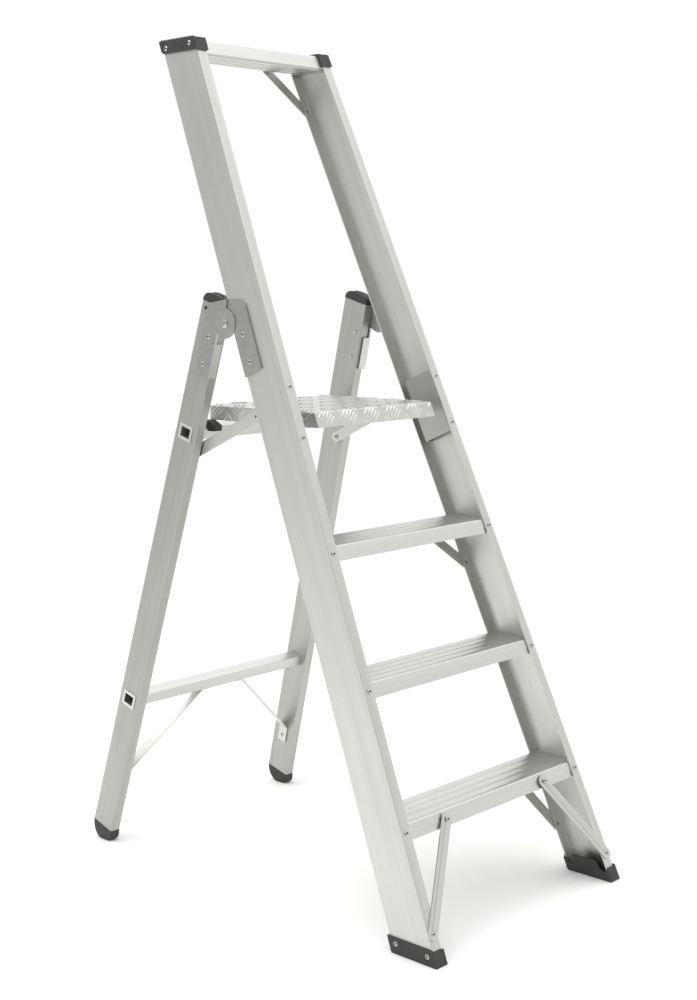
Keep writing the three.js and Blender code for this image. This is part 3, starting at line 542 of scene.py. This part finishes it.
@dataclass(frozen=True)
class Member:
    """A leaning, tapering pair of stiles or legs, in millimetres.

    Attributes:
        lean: Run towards the back per unit of height.
        ground: Y of the front face where it meets the ground.
        half_width: Outer face from the middle, at the ground.
        taper: What the half width loses per unit of height.
    """

    lean: float
    ground: float
    half_width: float
    taper: float

    @property
    def sin(self) -> float:
        """Sine of the lean."""
        return self.lean / math.hypot(1, self.lean)

    @property
    def cos(self) -> float:
        """Cosine of the lean."""
        return 1 / math.hypot(1, self.lean)

    def outer(self, z: float) -> float:
        """X of the outer face at a height."""
        return self.half_width - self.taper * z

    def side_point(self, square: float, z: float) -> tuple[float, float]:
        """Y and Z at a distance square to the front face, at a height."""
        return self.ground + self.lean * z + square / self.cos, z

    def along(self, side: Side) -> Vector:
        """Unit vector up along the member."""
        return Vector((-side.value * self.taper, self.lean, 1)).normalized()

    def front(self) -> Vector:
        """Unit vector out of the front face."""
        return Vector((0, -self.cos, self.sin))

    def outward(self, side: Side) -> Vector:
        """Unit vector out of the outer face."""
        return Vector((side.value, 0, self.taper)).normalized()

    def on_front(self, x: float, z: float, proud: float = 0.0) -> Vector:
        """A point on the front plane at a height, in metres, standing proud by some millimetres."""
        y, level = self.side_point(0, z)
        return Vector((x, y, level)) * MM + self.front() * proud * MM

    def on_side(self, side: Side, square: float, z: float, proud: float = 0.0) -> Vector:
        """A point on the outer face, in metres, standing proud by some millimetres."""
        y, level = self.side_point(square, z)
        x = side.value * self.outer(level)
        return Vector((x, y, level)) * MM + self.outward(side) * proud * MM


STILE_LEAN = 0.4206
STILE_BOTTOM = 3.0
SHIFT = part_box("stile_left")[0].y / MM - STILE_LEAN * STILE_BOTTOM
STILE = Member(lean=STILE_LEAN, ground=SHIFT, half_width=293.8, taper=0.0579)
LEG = Member(lean=-0.2901, ground=972.3 + SHIFT, half_width=288.2, taper=0.0531)


# ---- rivets


@dataclass
class PopRivets:
    """Pop rivets: a low domed head with the snapped mandrel in its hole, and an upset tail.

    Attributes:
        radius: Radius of the head.
        height: Height of the head.
        hole: Radius of the mandrel hole.
        tail: Radius of the upset tail.
        tail_height: Height of the tail.
        sides: Sides of the round shapes.
        shell: Finish of the head and the tail.
        core: Finish of what shows in the hole.
        slot: Material slot of the rivet.
    """

    radius: float = 5.0
    height: float = 1.9
    hole: float = 2.1
    tail: float = 4.0
    tail_height: float = 1.4
    sides: int = 16
    shell: Finish = RIVET
    core: Finish = MANDREL
    slot: Slot = Slot.RIVET
    templates: dict[str, Object] = field(default_factory=dict)

    def disc(self, radius: float, height: float, middle: float) -> Object:
        """A disc about Z with the rivet's two materials, its middle at a height."""
        bpy.ops.object.select_all(action="DESELECT")
        bpy.ops.mesh.primitive_cylinder_add(
            vertices=self.sides, radius=radius * MM, depth=height * MM, location=(0, 0, middle * MM)
        )
        disc = bpy.context.object
        bpy.ops.object.transform_apply(location=True)
        disc.data.materials.append(self.shell.material())
        disc.data.materials.append(self.core.material())
        return disc

    def model_head(self) -> Object:
        """A disc whose top is inset and raised into a dome and then sunk for the mandrel."""
        rim = self.height * 0.35
        head = self.disc(self.radius, rim, rim / 2)
        shoulder = (self.radius - self.hole) * 0.45
        slope = (self.radius - self.hole) - shoulder
        rise = self.height - rim
        edit(
            head,
            lambda: pick_faces(lambda f: f.normal.z > 0.9),
            lambda: bpy.ops.mesh.inset(thickness=shoulder * MM, depth=rise * 0.75 * MM),
            lambda: bpy.ops.mesh.inset(thickness=slope * MM, depth=rise * 0.25 * MM),
            lambda: bpy.ops.mesh.inset(thickness=0.05 * MM, depth=-self.height * 0.55 * MM),
        )
        for face in head.data.polygons:
            inside = face.center.xy.length < self.hole * 1.02 * MM
            face.material_index = int(inside and face.center.z > 0)
        self.round_off(head)
        return head

    def model_tail(self) -> Object:
        """A short upset button, which lies below the origin."""
        tail = self.disc(self.tail, self.tail_height, -self.tail_height / 2)
        edit(
            tail,
            lambda: pick_faces(lambda f: f.normal.z < -0.9),
            lambda: bpy.ops.mesh.inset(thickness=self.tail * 0.25 * MM, depth=0),
            lambda: bpy.ops.mesh.inset(thickness=self.tail * 0.3 * MM, depth=0.3 * MM),
        )
        self.round_off(tail)
        return tail

    @staticmethod
    def round_off(obj: Object) -> None:
        """Smooths the round faces."""
        choose(obj)
        bpy.ops.object.shade_smooth_by_angle(angle=ROUND_ANGLE)

    def copy(self, part: str, at: Vector, out: Vector) -> Object:
        """A copy of the head or the tail with its own mesh.

        Args:
            part: "head" or "tail".
            at: The point of the surface that it sits on, in metres.
            out: The direction that the head faces.

        Returns:
            The copy, at the origin with its place in its mesh.
        """
        if part not in self.templates:
            self.templates[part] = self.model_head() if part == "head" else self.model_tail()
        mesh = self.templates[part].data.copy()
        turn = out.to_track_quat("Z", "Y").to_matrix().to_4x4()
        mesh.transform(Matrix.Translation(at) @ turn)
        return new_object(f"rivet_{part}", mesh)

    def remove_templates(self) -> None:
        """Deletes the two models that the copies were made from."""
        for template in self.templates.values():
            bpy.data.objects.remove(template)
        self.templates.clear()


def join(name: str, pieces: list[Object]) -> Object:
    """Joins pieces into one object with a name."""
    choose(*pieces)
    if len(pieces) > 1:
        bpy.ops.object.join()
    whole = pieces[0]
    whole.name = name
    whole.data.name = name
    return whole


@dataclass
class Riveting:
    """Places the rivets: those that stand for CAD rivets and the rows of further ones."""

    small: PopRivets = field(default_factory=PopRivets)
    large: PopRivets = field(
        default_factory=lambda: PopRivets(
            radius=8.5, height=2.8, hole=4.2, tail=7.0, tail_height=2.1, sides=24, core=RIVET
        )
    )
    pin: PopRivets = field(
        default_factory=lambda: PopRivets(radius=2.8, height=0.9, hole=1.2, core=RIVET)
    )
    peg: PopRivets = field(
        default_factory=lambda: PopRivets(
            radius=4.0, height=1.6, hole=2.2, shell=PLASTIC, core=PLASTIC, slot=Slot.PLASTIC
        )
    )

    def node(self, name: str, body: str, kind: PopRivets) -> None:
        """Replaces a CAD rivet by a head and a tail at the two ends of its mesh."""
        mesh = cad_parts[name].data
        points = [v.co.copy() for v in mesh.vertices]
        middle = sum(points, Vector()) / len(points)
        axis = self.axis_of(points)
        low, high = (f(p @ axis for p in points) for f in (min, max))
        head_high = self.reach(points, axis, high) > self.reach(points, axis, low)
        out = axis if head_high else -axis
        ends = sorted((p @ out for p in points))
        centre = middle - out * (middle @ out)
        head_at = centre + out * (ends[-1] - kind.height * MM)
        tail_at = centre + out * (ends[0] + kind.tail_height * MM)
        piece = join(
            f"finished_{name}", [kind.copy("head", head_at, out), kind.copy("tail", tail_at, out)]
        )
        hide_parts(name)
        dress(piece, body, kind.slot, kind.shell, kind.core)

    @staticmethod
    def axis_of(points: list[Vector]) -> Vector:
        """The axis of a rivet's mesh: the direction in which it is symmetrical all round."""
        directions = [Vector((1, 0, 0)), STILE.front(), LEG.front(), Vector((0, 0, 1))]
        middle = sum(points, Vector()) / len(points)

        def unevenness(axis: Vector) -> float:
            spans = []
            for way in square_to(axis):
                reaches = [(p - middle) @ way for p in points]
                spans.append(max(reaches) - min(reaches))
            return abs(spans[0] - spans[1])

        return min(directions, key=unevenness)

    @staticmethod
    def reach(points: list[Vector], axis: Vector, end: float) -> float:
        """The widest reach from the axis near one end."""
        near = [p for p in points if abs(p @ axis - end) < END_DEPTH]
        middle = sum(points, Vector()) / len(points)
        return max(((p - middle) - axis * ((p - middle) @ axis)).length for p in near)

    def row(
        self,
        name: str,
        body: str,
        kind: PopRivets,
        places: list[tuple[str, Vector, Vector]],
    ) -> None:
        """Joins a row of further heads and tails into one piece.

        Args:
            name: The piece's name.
            body: The body it rides on.
            kind: The rivets.
            places: "head" or "tail", the point of the surface and the direction that it faces.
        """
        piece = join(name, [kind.copy(part, at, out) for part, at, out in places])
        dress(piece, body, kind.slot, kind.shell, kind.core)
        log.info("%s: %d rivet ends", name, len(places))

    def clear(self) -> None:
        """Deletes the models that the copies were made from."""
        for kind in (self.small, self.large, self.pin, self.peg):
            kind.remove_templates()


@dataclass
class Assembly:
    """Pieces that ride on one body.

    Attributes:
        riveting: Places the rivets.
        body: The body.
    """

    riveting: Riveting
    body: str

    def finish(
        self,
        nodes: Iterable[str],
        slot: Slot,
        finish: Finish,
        radius: float,
        grain: Callable[[str], Vector] | None = None,
    ) -> None:
        """Finishes several CAD pieces in the same way.

        Args:
            nodes: The CAD nodes.
            slot: Their material slot.
            finish: Their finish.
            radius: Edge radius in millimetres.
            grain: Gives the direction of a node's grain; across the ladder where left out.
        """
        for node in nodes:
            piece = finished_copy(node, radius)
            set_grain(piece, grain(node) if grain else Vector((1, 0, 0)))
            dress(piece, self.body, slot, finish)
            log.info("%s: %d faces", piece.name, len(piece.data.polygons))

    def rivet(self, name: str, kind: PopRivets) -> None:
        """Replaces a CAD rivet."""
        self.riveting.node(name, self.body, kind)

    def row(self, name: str, kind: PopRivets, places: list[tuple[str, Vector, Vector]]) -> None:
        """Adds a row of further rivet ends."""
        self.riveting.row(name, self.body, kind, places)


# ---- the front frame


@dataclass
class FrontFrame(Assembly):
    """The stiles, treads, top rail, caps, feet and braces, which all ride together.

    Heights are above the ground; squares are measured square to the front face.

    Attributes:
        depth: Depth of a stile.
        flange: Width of a stile's flanges.
        wall: Wall of a stile.
        treads: Number of treads.
        first_tread: Height of the lowest tread's top.
        tread_pitch: Rise between treads.
        rivet_drop: How far a tread's rivets are below its top.
        flange_rivets: Heights of the inserts' rivets in the front flange.
        foot_rivet: X, height and stand of the shoe's rivet in the front flange.
        side_rivets: Square, height and stand of the rivets of cap, shoe and hinge plate.
        back_brace_proud: Stand of the back braces' rivets over the back flange.
        back_brace_ends: Height and inset from the outer face of the back braces' rivets.
    """

    body: str = "front_frame"
    depth: float = 105.7
    flange: float = 24.0
    wall: float = 3.2
    treads: int = 3
    first_tread: float = 240.5
    tread_pitch: float = 250.0
    rivet_drop: float = 13.0
    flange_rivets: tuple[float, ...] = (1043, 945)
    foot_rivet: tuple[float, float, float] = (280, 54.5, 2.9)
    side_rivets: tuple[tuple[float, float, float], ...] = (
        (85, 1728, 3.3),
        (16, 1732, 3.3),
        (84, 19, 3.3),
        (13, 17, 3.3),
        (74, 1142, 3.9),
        (74, 1088, 3.9),
    )
    back_brace_proud: float = 3.3
    back_brace_ends: tuple[tuple[float, float], ...] = (
        (91.5, 16.5),
        (226.0, 109.7),
        (637.0, 15.4),
        (726.0, 114.7),
        (1625.0, 16.7),
        (1722.0, 106.1),
    )

    def build(self) -> None:
        """Builds every piece of the front frame."""
        self.members()
        self.braces()
        self.plastics()
        self.rivets()

    def members(self) -> None:
        """The stiles, the inserts, the treads and the top rail."""
        along = lambda node: STILE.along(side_of(node))
        self.finish(both("stile"), Slot.MILL, MILL, 0.25, along)
        self.finish(both("stile_insert"), Slot.MILL, DULL, 0.5, along)
        treads = [f"tread_{i + 1}" for i in range(self.treads)] + ["top_rail"]
        self.finish(treads, Slot.BRIGHT, BRIGHT, 0.3)

    def braces(self) -> None:
        """The ridged front braces, the flat back braces and the hinge plates."""

        def along(node: str) -> Vector:
            low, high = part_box(node)
            way = high - low
            return Vector((-side_of(node).value * way.x, way.y, way.z))

        self.finish(both("front_brace"), Slot.MILL, MILL, 0.5, along)
        for stem in ("tread_1_brace", "tread_3_brace", "top_brace"):
            self.finish(both(stem), Slot.MILL, MILL, 0.5, along)
        self.finish(both("stile_hinge_plate"), Slot.HINGE_PLATE, HINGE_PLATE, 0.6)

    def plastics(self) -> None:
        """The end caps and the shoes."""
        self.finish(both("stile_cap"), Slot.PLASTIC, PLASTIC, 0.25)
        self.finish(both("stile_foot"), Slot.PLASTIC, PLASTIC, 0.6)

    def rivets(self) -> None:
        """The CAD rivets and the further rows on flanges, caps, shoes and hinge plates."""
        small = self.riveting.small
        for i in range(self.treads):
            for name in both(f"tread_{i + 1}_rivet"):
                self.rivet(name, small)
        for name in both("front_brace_rivet"):
            self.rivet(name, small)
        front = STILE.front()
        for side in Side:
            s = side.value
            out = STILE.outward(side)
            x, z, stand = self.foot_rivet
            places = [STILE.on_front(s * self.flange_middle(z), z) for z in self.flange_rivets]
            places.append(STILE.on_front(s * x, z, stand))
            front_row = [("head", at, front) for at in places]
            self.row(f"front_flange_rivets_{side.hand}", small, front_row)
            side_row = [("head", STILE.on_side(side, *place), out) for place in self.side_rivets]
            self.row(f"stile_side_rivets_{side.hand}", small, side_row)
            self.row(f"back_brace_rivets_{side.hand}", small, self.back_row(s))

    def back_row(self, s: int) -> list[tuple[str, Vector, Vector]]:
        """The rivets of the back braces and of the treads' back walls."""
        back = -STILE.front()
        behind = self.depth * STILE.cos
        row = []
        for z, inset in self.back_brace_ends:
            at = STILE.on_front(s * (STILE.outer(z) - inset), z)
            surface = at + back * (behind + self.back_brace_proud) * MM
            row.append(("head", self.level_with(surface, z), back))
            if inset < self.flange:
                inner = at + back * (behind - self.wall * STILE.cos) * MM
                row.append(("head", self.level_with(inner, z), -back))
        for i in range(self.treads):
            z = self.first_tread + i * self.tread_pitch - self.rivet_drop
            surface = STILE.on_front(s * self.flange_middle(z), z) + back * behind * MM
            row.append(("head", self.level_with(surface, z), back))
        return row

    def flange_middle(self, z: float) -> float:
        """Distance of a flange's middle from the ladder's middle at a height."""
        return STILE.outer(z) - self.flange / 2

    @staticmethod
    def level_with(point: Vector, z: float) -> Vector:
        """Slides a point along the stiles' lean until it is at a height."""
        rise = z * MM - point.z
        return point + Vector((0, STILE.lean * rise, rise))


# ---- the rear frame


@dataclass
class RearFrame(Assembly):
    """The legs, the rear rails, their struts, plugs and pads.

    Attributes:
        width: Width of a leg.
        plate_square: How far the hinge plate's rivets are from the front face.
        plate_rivets: Heights of the hinge plate's rivets.
        plate_stand: Stand of their heads over the leg's outer face.
        strut_rivet: Square, height and stand of the strut's rivet on the inner face.
        plug_pins: Square and height of the foot plug's pins.
        cap_peg: Square and height of the cap's peg.
    """

    body: str = "rear_frame"
    width: float = 24.0
    plate_square: float = 19.0
    plate_rivets: tuple[float, float] = (1136.2, 1079.6)
    plate_stand: float = 5.4
    strut_rivet: tuple[float, float, float] = (32, 131, 3.3)
    plug_pins: tuple[tuple[float, float], ...] = ((55, 59), (7, 46))
    cap_peg: tuple[float, float] = (51, 1195.5)

    def build(self) -> None:
        """Builds every piece of the rear frame."""
        along = lambda node: LEG.along(side_of(node))
        self.finish(both("leg"), Slot.MILL, DULL, 0.25, along)
        rails = ["rear_rail_upper", "rear_rail_lower"]
        self.finish(rails, Slot.MILL, MILL, 0.25)
        for rail in rails:
            self.refinish(rail, BRIGHT, lambda f: abs(f.center.x) > LEG.outer(f.center.z / MM) * MM)
        self.finish(both("rear_brace"), Slot.MILL, MILL, 0.4, along)
        for stem in ("leg_cap", "leg_foot", "rest_pad"):
            self.finish(both(stem), Slot.PLASTIC, PLASTIC, 0.8)
        self.finish(both("leg_hinge_plate"), Slot.HINGE_PLATE, HINGE_PLATE, 0.6, along)
        # Painted light: the plate's faces that look to the front take the lighter mill aluminium
        # finish, which stands in for the light that falls on that side.
        for plate in both("leg_hinge_plate"):
            self.refinish(plate, MILL, lambda f: f.normal @ LEG.front() > 0.7)
        self.rivets()

    @staticmethod
    def refinish(
        node: str, finish: Finish, wanted: Callable[[bpy.types.MeshPolygon], bool]
    ) -> None:
        """Gives the faces that pass a test another finish."""
        mesh = bpy.data.objects[f"finished_{node}"].data
        mesh.materials.append(finish.material())
        for face in mesh.polygons:
            face.material_index = int(wanted(face))

    def rivets(self) -> None:
        """The hinge pins and the rows on plates, plugs and struts."""
        for name in both("hinge_rivet"):
            self.rivet(name, self.riveting.large)
        for side in Side:
            out = LEG.outward(side)
            on_plate = lambda z, stand: LEG.on_side(side, self.plate_square, z, stand)
            square, height, stand = self.strut_rivet
            strut = LEG.on_side(side, square, height, -self.width - stand)
            plate_row = [("head", on_plate(z, self.plate_stand), out) for z in self.plate_rivets]
            plate_row.append(("head", strut, -out))
            plate_row += [("tail", on_plate(z, -self.width), out) for z in self.plate_rivets]
            plug_row = [
                ("head", LEG.on_side(side, *pin, stand), way)
                for stand, way in ((0, out), (-self.width, -out))
                for pin in self.plug_pins
            ]
            peg_row = [("head", LEG.on_side(side, *self.cap_peg), out)]
            self.row(f"leg_rivets_{side.hand}", self.riveting.small, plate_row)
            self.row(f"plug_pins_{side.hand}", self.riveting.pin, plug_row)
            self.row(f"plug_peg_{side.hand}", self.riveting.peg, peg_row)


# ---- platform and links


@dataclass
class TreadPlateBars:
    """The raised bars of five-bar tread plate, laid out on the flat sheet and folded with it.

    Groups of five parallel bars sit on a square lattice that is turned by 45 degrees, and the
    bars of neighbouring groups are at right angles.

    Attributes:
        lattice: Side of one group's square.
        offset: Where one group's square has its middle, from the middle of the sheet.
        bars: Bars in a group.
        pitch: Distance between the bars of a group.
        length: Length of a bar.
        width: Width of a bar.
        height: Height of a bar above the sheet.
        sunk: Depth of a bar below the sheet's surface.
        steps: Pieces that a bar is cut into along its length.
    """

    lattice: float = 47.0
    offset: tuple[float, float] = (19.0, 0.0)
    bars: int = 5
    pitch: float = 7.6
    length: float = 34.0
    width: float = 3.4
    height: float = 2.0
    sunk: float = 0.6
    steps: int = 6

    def model_bar(self) -> Object:
        """A strip that is cut across into steps and rises to a rounded top with pointed ends."""
        bpy.ops.object.select_all(action="DESELECT")
        bpy.ops.mesh.primitive_cube_add(size=MM, location=(0, 0, 0))
        bar = bpy.context.object
        thick = self.height + self.sunk
        edit(
            bar,
            lambda: bpy.ops.mesh.select_all(action="SELECT"),
            lambda: bpy.ops.transform.resize(value=(self.length, self.width, thick)),
            lambda: bpy.ops.transform.translate(value=(0, 0, (thick / 2 - self.sunk) * MM)),
        )
        for i in range(1, self.steps):
            x = self.length * (i / self.steps - 0.5) * MM
            edit(
                bar,
                lambda: bpy.ops.mesh.select_all(action="SELECT"),
                lambda: bpy.ops.mesh.bisect(plane_co=(x, 0, 0), plane_no=(1, 0, 0)),
            )
        for vertex in bar.data.vertices:
            share = abs(vertex.co.x) / (self.length / 2 * MM)
            vertex.co.y *= math.sqrt(max(1 - share**4, 0.02))
            if vertex.co.z > 0:
                vertex.co.y *= 0.45
                vertex.co.z *= math.sqrt(max(1 - share**4, 0.05))
        return bar

    def flat_places(self, reach_x: float, reach_y: float) -> list[tuple[float, float, float]]:
        """Centres and turns of all bars on the flat sheet.

        Args:
            reach_x: Half of the flat sheet across.
            reach_y: Half of the flat sheet from front to back.

        Returns:
            X, Y and the turn of each bar.
        """
        places = []
        count = int((reach_x + reach_y) / self.lattice) + 2
        diagonal = self.lattice / math.sqrt(2)
        for i in range(-count, count + 1):
            for j in range(-count, count + 1):
                centre = Vector(self.offset) + Vector((i - j, i + j)) * diagonal
                turn = math.radians(-45 if (i + j) % 2 == 0 else 45)
                across = Vector((-math.sin(turn), math.cos(turn)))
                for k in range(self.bars):
                    at = centre + across * (k - (self.bars - 1) / 2) * self.pitch
                    if abs(at.x) < reach_x and abs(at.y) < reach_y:
                        places.append((at.x, at.y, turn))
        return places


@dataclass
class Platform(Assembly):
    """The standing platform: a tray of tread plate with its raised bars, bushes and pivots.

    Attributes:
        bars: The raised bars.
        top: Height of the top surface.
        half_width: Side edge from the middle.
        depth: Depth of the top from front to back.
        apron: Height of the aprons.
        bend: Radius of the bends.
        edge: How far the bars stop short of the sheet's edge.
        corner: How near a corner of the top a bar may come.
        front_gap: How far the front edge is ahead of the stiles' front.
    """

    body: str = "platform"
    bars: TreadPlateBars = field(default_factory=TreadPlateBars)
    top: float = 991.3
    half_width: float = 177.6
    depth: float = 308.1
    apron: float = 31.6
    bend: float = 3.2
    edge: float = 1.5
    corner: float = 2.0
    front_gap: float = 0.2

    def build(self) -> None:
        """Builds every piece of the platform."""
        self.finish(["platform_plate"], Slot.TREAD_PLATE, TREAD_PLATE, 0.3)
        self.finish(both("platform_bush"), Slot.MILL, MILL, 0.4)
        for name in both("platform_pivot"):
            self.rivet(name, self.riveting.large)
        self.raise_bars()

    @property
    def front(self) -> float:
        """Y of the platform's upper front edge."""
        return SHIFT + STILE.lean * self.top - self.front_gap

    def raise_bars(self) -> None:
        """Lays the bars on the flat sheet, trims them at its edges and folds them with it."""
        half_depth = self.depth / 2
        reach_x = self.half_width + self.apron - self.edge
        reach_front = half_depth + self.apron / STILE.cos - self.edge
        reach_back = half_depth + self.apron - self.edge
        template = self.bars.model_bar()
        half = self.bars.length / 2
        side, end = self.half_width - self.corner, half_depth - self.corner
        copies = []
        for x, y, turn in self.bars.flat_places(reach_x + half, reach_front + half):
            spots = (
                (x + way * half * math.cos(turn), y + way * half * math.sin(turn))
                for way in (-1, 0, 1)
            )
            if any(abs(a) > side and abs(b) > end for a, b in spots):
                continue
            mesh = template.data.copy()
            mesh.transform(
                Matrix.Translation(Vector((x, y, 0)) * MM) @ Matrix.Rotation(turn, 4, "Z")
            )
            copies.append(new_object("bar", mesh))
        bpy.data.objects.remove(template)
        bars = join("tread_plate_bars", copies)
        cuts = [
            ((reach_x, 0, 0), (1, 0, 0)),
            ((-reach_x, 0, 0), (-1, 0, 0)),
            ((0, reach_back, 0), (0, 1, 0)),
            ((0, -reach_front, 0), (0, -1, 0)),
        ]
        for at, out in cuts:
            edit(
                bars,
                lambda: bpy.ops.mesh.select_all(action="SELECT"),
                lambda: bpy.ops.mesh.bisect(
                    plane_co=Vector(at) * MM, plane_no=out, use_fill=True, clear_outer=True
                ),
            )
        for vertex in bars.data.vertices:
            vertex.co = self.folded(vertex.co / MM) * MM
        choose(bars)
        bpy.ops.object.shade_smooth_by_angle(angle=BAR_ANGLE)
        # The bars take the lighter finish: real wear on their tops plus a painted highlight over
        # the whole bar.
        dress(bars, self.body, Slot.TREAD_PLATE, TREAD_BARS)
        log.info("tread_plate_bars: %d bars", len(copies))

    def folded(self, flat: Vector) -> Vector:
        """Where a point of the flat sheet lies once the aprons are bent down.

        Args:
            flat: X and Y on the sheet from its middle and Z above its surface, in millimetres.

        Returns:
            The point in the row frame, in millimetres.
        """
        lean = math.atan(STILE.lean)
        x, down_x = self.fold(abs(flat.x), self.half_width, math.pi / 2, flat.z)
        angle = math.pi / 2 - lean if flat.y < 0 else math.pi / 2
        y, down_y = self.fold(abs(flat.y), self.depth / 2, angle, flat.z)
        bent = [down for down in (down_x, down_y) if abs(down - flat.z) > FLAT]
        z = self.top + min(bent, default=flat.z)
        middle = self.front + self.depth / 2
        return Vector((math.copysign(x, flat.x), middle + math.copysign(y, flat.y), z))

    def fold(self, run: float, edge: float, angle: float, lift: float) -> tuple[float, float]:
        """Bends one direction of the sheet down over its edge.

        Args:
            run: Distance from the middle along the flat sheet.
            edge: Where the flat faces' corner would be.
            angle: How far the apron is bent down.
            lift: Height above the sheet's surface.

        Returns:
            Distance from the middle and height over the top surface.
        """
        tangent = self.bend * math.tan(angle / 2)
        start = edge - tangent
        if run <= start:
            return run, lift
        arc = self.bend * angle
        radius = self.bend + lift
        if run < start + arc:
            turn = (run - start) / self.bend
            return start + radius * math.sin(turn), radius * math.cos(turn) - self.bend
        rest = run - start - arc
        out = start + radius * math.sin(angle) + rest * math.cos(angle)
        return out, radius * math.cos(angle) - self.bend - rest * math.sin(angle)


@dataclass
class Link(Assembly):
    """One of the two links that lift the platform as the rear frame folds."""

    side: Side

    def build(self) -> None:
        """Builds the link with its rivets and its bush."""
        low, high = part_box(self.body)
        way = high - low
        along = Vector((0, -way.y, way.z))
        self.finish([self.body], Slot.MILL, MILL, 0.4, lambda node: along)
        self.finish([f"link_bush_{self.side.hand}"], Slot.MILL, MILL, 0.4)
        for stem in ("link_leg_rivet", "link_platform_rivet"):
            self.rivet(f"{stem}_{self.side.hand}", self.riveting.small)


# ---- studio


@dataclass
class Studio:
    """A pale floor, a surround that falls off to the left, light from overhead and the camera.

    Attributes:
        camera_at: The camera's place in metres.
        azimuth: Direction of the view from +Y towards +X, in degrees.
        elevation: Rise of the view, in degrees.
        roll: Turn of the camera about the view, in degrees.
        lens: Focal length in millimetres.
        sensor: Width of the sensor in millimetres.
        shift: Shift of the lens.
        floor_size: Side of the card in metres.
        floor_drop: How far the card is under the feet, in millimetres.
        bright_from: The direction in which the surround is brightest.
        darkest: The surround's strength on the far side.
        brightest: The surround's strength at its brightest.
        overhead: Strength of the wide sun from above.
        overhead_spread: Its angle, in degrees.
        pool_at: Place of the lamp that lights the floor behind the ladder, in metres.
        pool_size: Side of that lamp in metres.
        pool_power: Its power in watts.
    """

    camera_at: tuple[float, float, float] = (-2.3574, SHIFT * MM - 1.7443, 1.2412)
    azimuth: float = 46.52
    elevation: float = -7.951
    roll: float = -0.435
    lens: float = 55.99
    sensor: float = 36.0
    shift: tuple[float, float] = (-0.0005, 0.0012)
    floor_size: float = 60.0
    floor_drop: float = 0.5
    bright_from: tuple[float, float, float] = (0.8, 0.25, 0.45)
    darkest: float = 0.28
    brightest: float = 1.06
    overhead: float = 0.95
    overhead_spread: float = 110.0
    pool_at: tuple[float, float, float] = (-0.9, 0.7, 3.6)
    pool_size: float = 2.4
    pool_power: float = 55.0

    def build(self) -> None:
        """Makes the floor, the lights and the camera."""
        self.floor()
        self.lights()
        self.camera()
        bpy.context.scene.view_settings.view_transform = "Standard"

    def floor(self) -> None:
        """A large card just under the feet."""
        bpy.ops.object.select_all(action="DESELECT")
        place = (0, 0, -self.floor_drop * MM)
        bpy.ops.mesh.primitive_plane_add(size=self.floor_size, location=place)
        floor = bpy.context.object
        floor.name = "studio_floor"
        bpy.ops.object.transform_apply(location=True, rotation=True, scale=True)
        floor.data.materials.append(CARD.material())

    def lights(self) -> None:
        """The surround, which looks white itself, a wide sun and the lamp over the floor."""
        world = bpy.data.worlds.new("soft_white_surround")
        world.use_nodes = True
        tree = world.node_tree
        tree.nodes.clear()
        way = place_on(tree)
        towards = add_node(
            tree,
            "ShaderNodeVectorMath",
            {"operation": "DOT_PRODUCT"},
            {0: way, 1: Vector(self.bright_from).normalized()},
        )
        level = ranged(tree, towards.outputs["Value"], (-1.0, 1.0), (self.darkest, self.brightest))
        white = linear("#ffffff")
        lit = add_node(tree, "ShaderNodeBackground", inputs={"Color": white, "Strength": level})
        seen = add_node(tree, "ShaderNodeBackground", inputs={"Color": white})
        share = add_node(tree, "ShaderNodeLightPath").outputs["Is Camera Ray"]
        mixed = add_node(
            tree, "ShaderNodeMixShader", inputs={0: share, 1: lit.outputs[0], 2: seen.outputs[0]}
        )
        add_node(tree, "ShaderNodeOutputWorld", inputs={"Surface": mixed.outputs[0]})
        bpy.context.scene.world = world
        sun = self.lamp("overhead_light", "SUN", self.overhead)
        sun.angle = math.radians(self.overhead_spread)
        pool = self.lamp("pool_light", "AREA", self.pool_power, self.pool_at)
        pool.size = self.pool_size

    @staticmethod
    def lamp(
        name: str, kind: str, energy: float, at: tuple[float, float, float] = (0, 0, 0)
    ) -> bpy.types.Light:
        """A lamp that shines straight down."""
        data = bpy.data.lights.new(name, kind)
        data.energy = energy
        new_object(name, data).location = at
        return data

    def camera(self) -> None:
        """The camera, from its place, its direction and its roll."""
        azimuth, elevation, roll = map(math.radians, (self.azimuth, self.elevation, self.roll))
        forward = Vector(
            (
                math.sin(azimuth) * math.cos(elevation),
                math.cos(azimuth) * math.cos(elevation),
                math.sin(elevation),
            )
        )
        level = Vector((math.cos(azimuth), -math.sin(azimuth), 0))
        upright = level.cross(forward)
        right = level * math.cos(roll) + upright * math.sin(roll)
        up = upright * math.cos(roll) - level * math.sin(roll)
        data = bpy.data.cameras.new("camera")
        data.lens = self.lens
        data.sensor_width = self.sensor
        data.shift_x, data.shift_y = self.shift
        camera = new_object("camera", data)
        turn = Matrix((right, up, -forward)).transposed().to_4x4()
        camera.matrix_world = Matrix.Translation(Vector(self.camera_at)) @ turn
        bpy.context.scene.camera = camera


def main() -> None:
    """Builds the ladder and the studio."""
    logging.basicConfig(level=logging.INFO, format="%(name)s: %(message)s")
    riveting = Riveting()
    FrontFrame(riveting).build()
    RearFrame(riveting).build()
    Platform(riveting).build()
    for side in Side:
        Link(riveting, f"link_{side.hand}", side).build()
    riveting.clear()
    Studio().build()


if __name__ == "__main__":
    main()
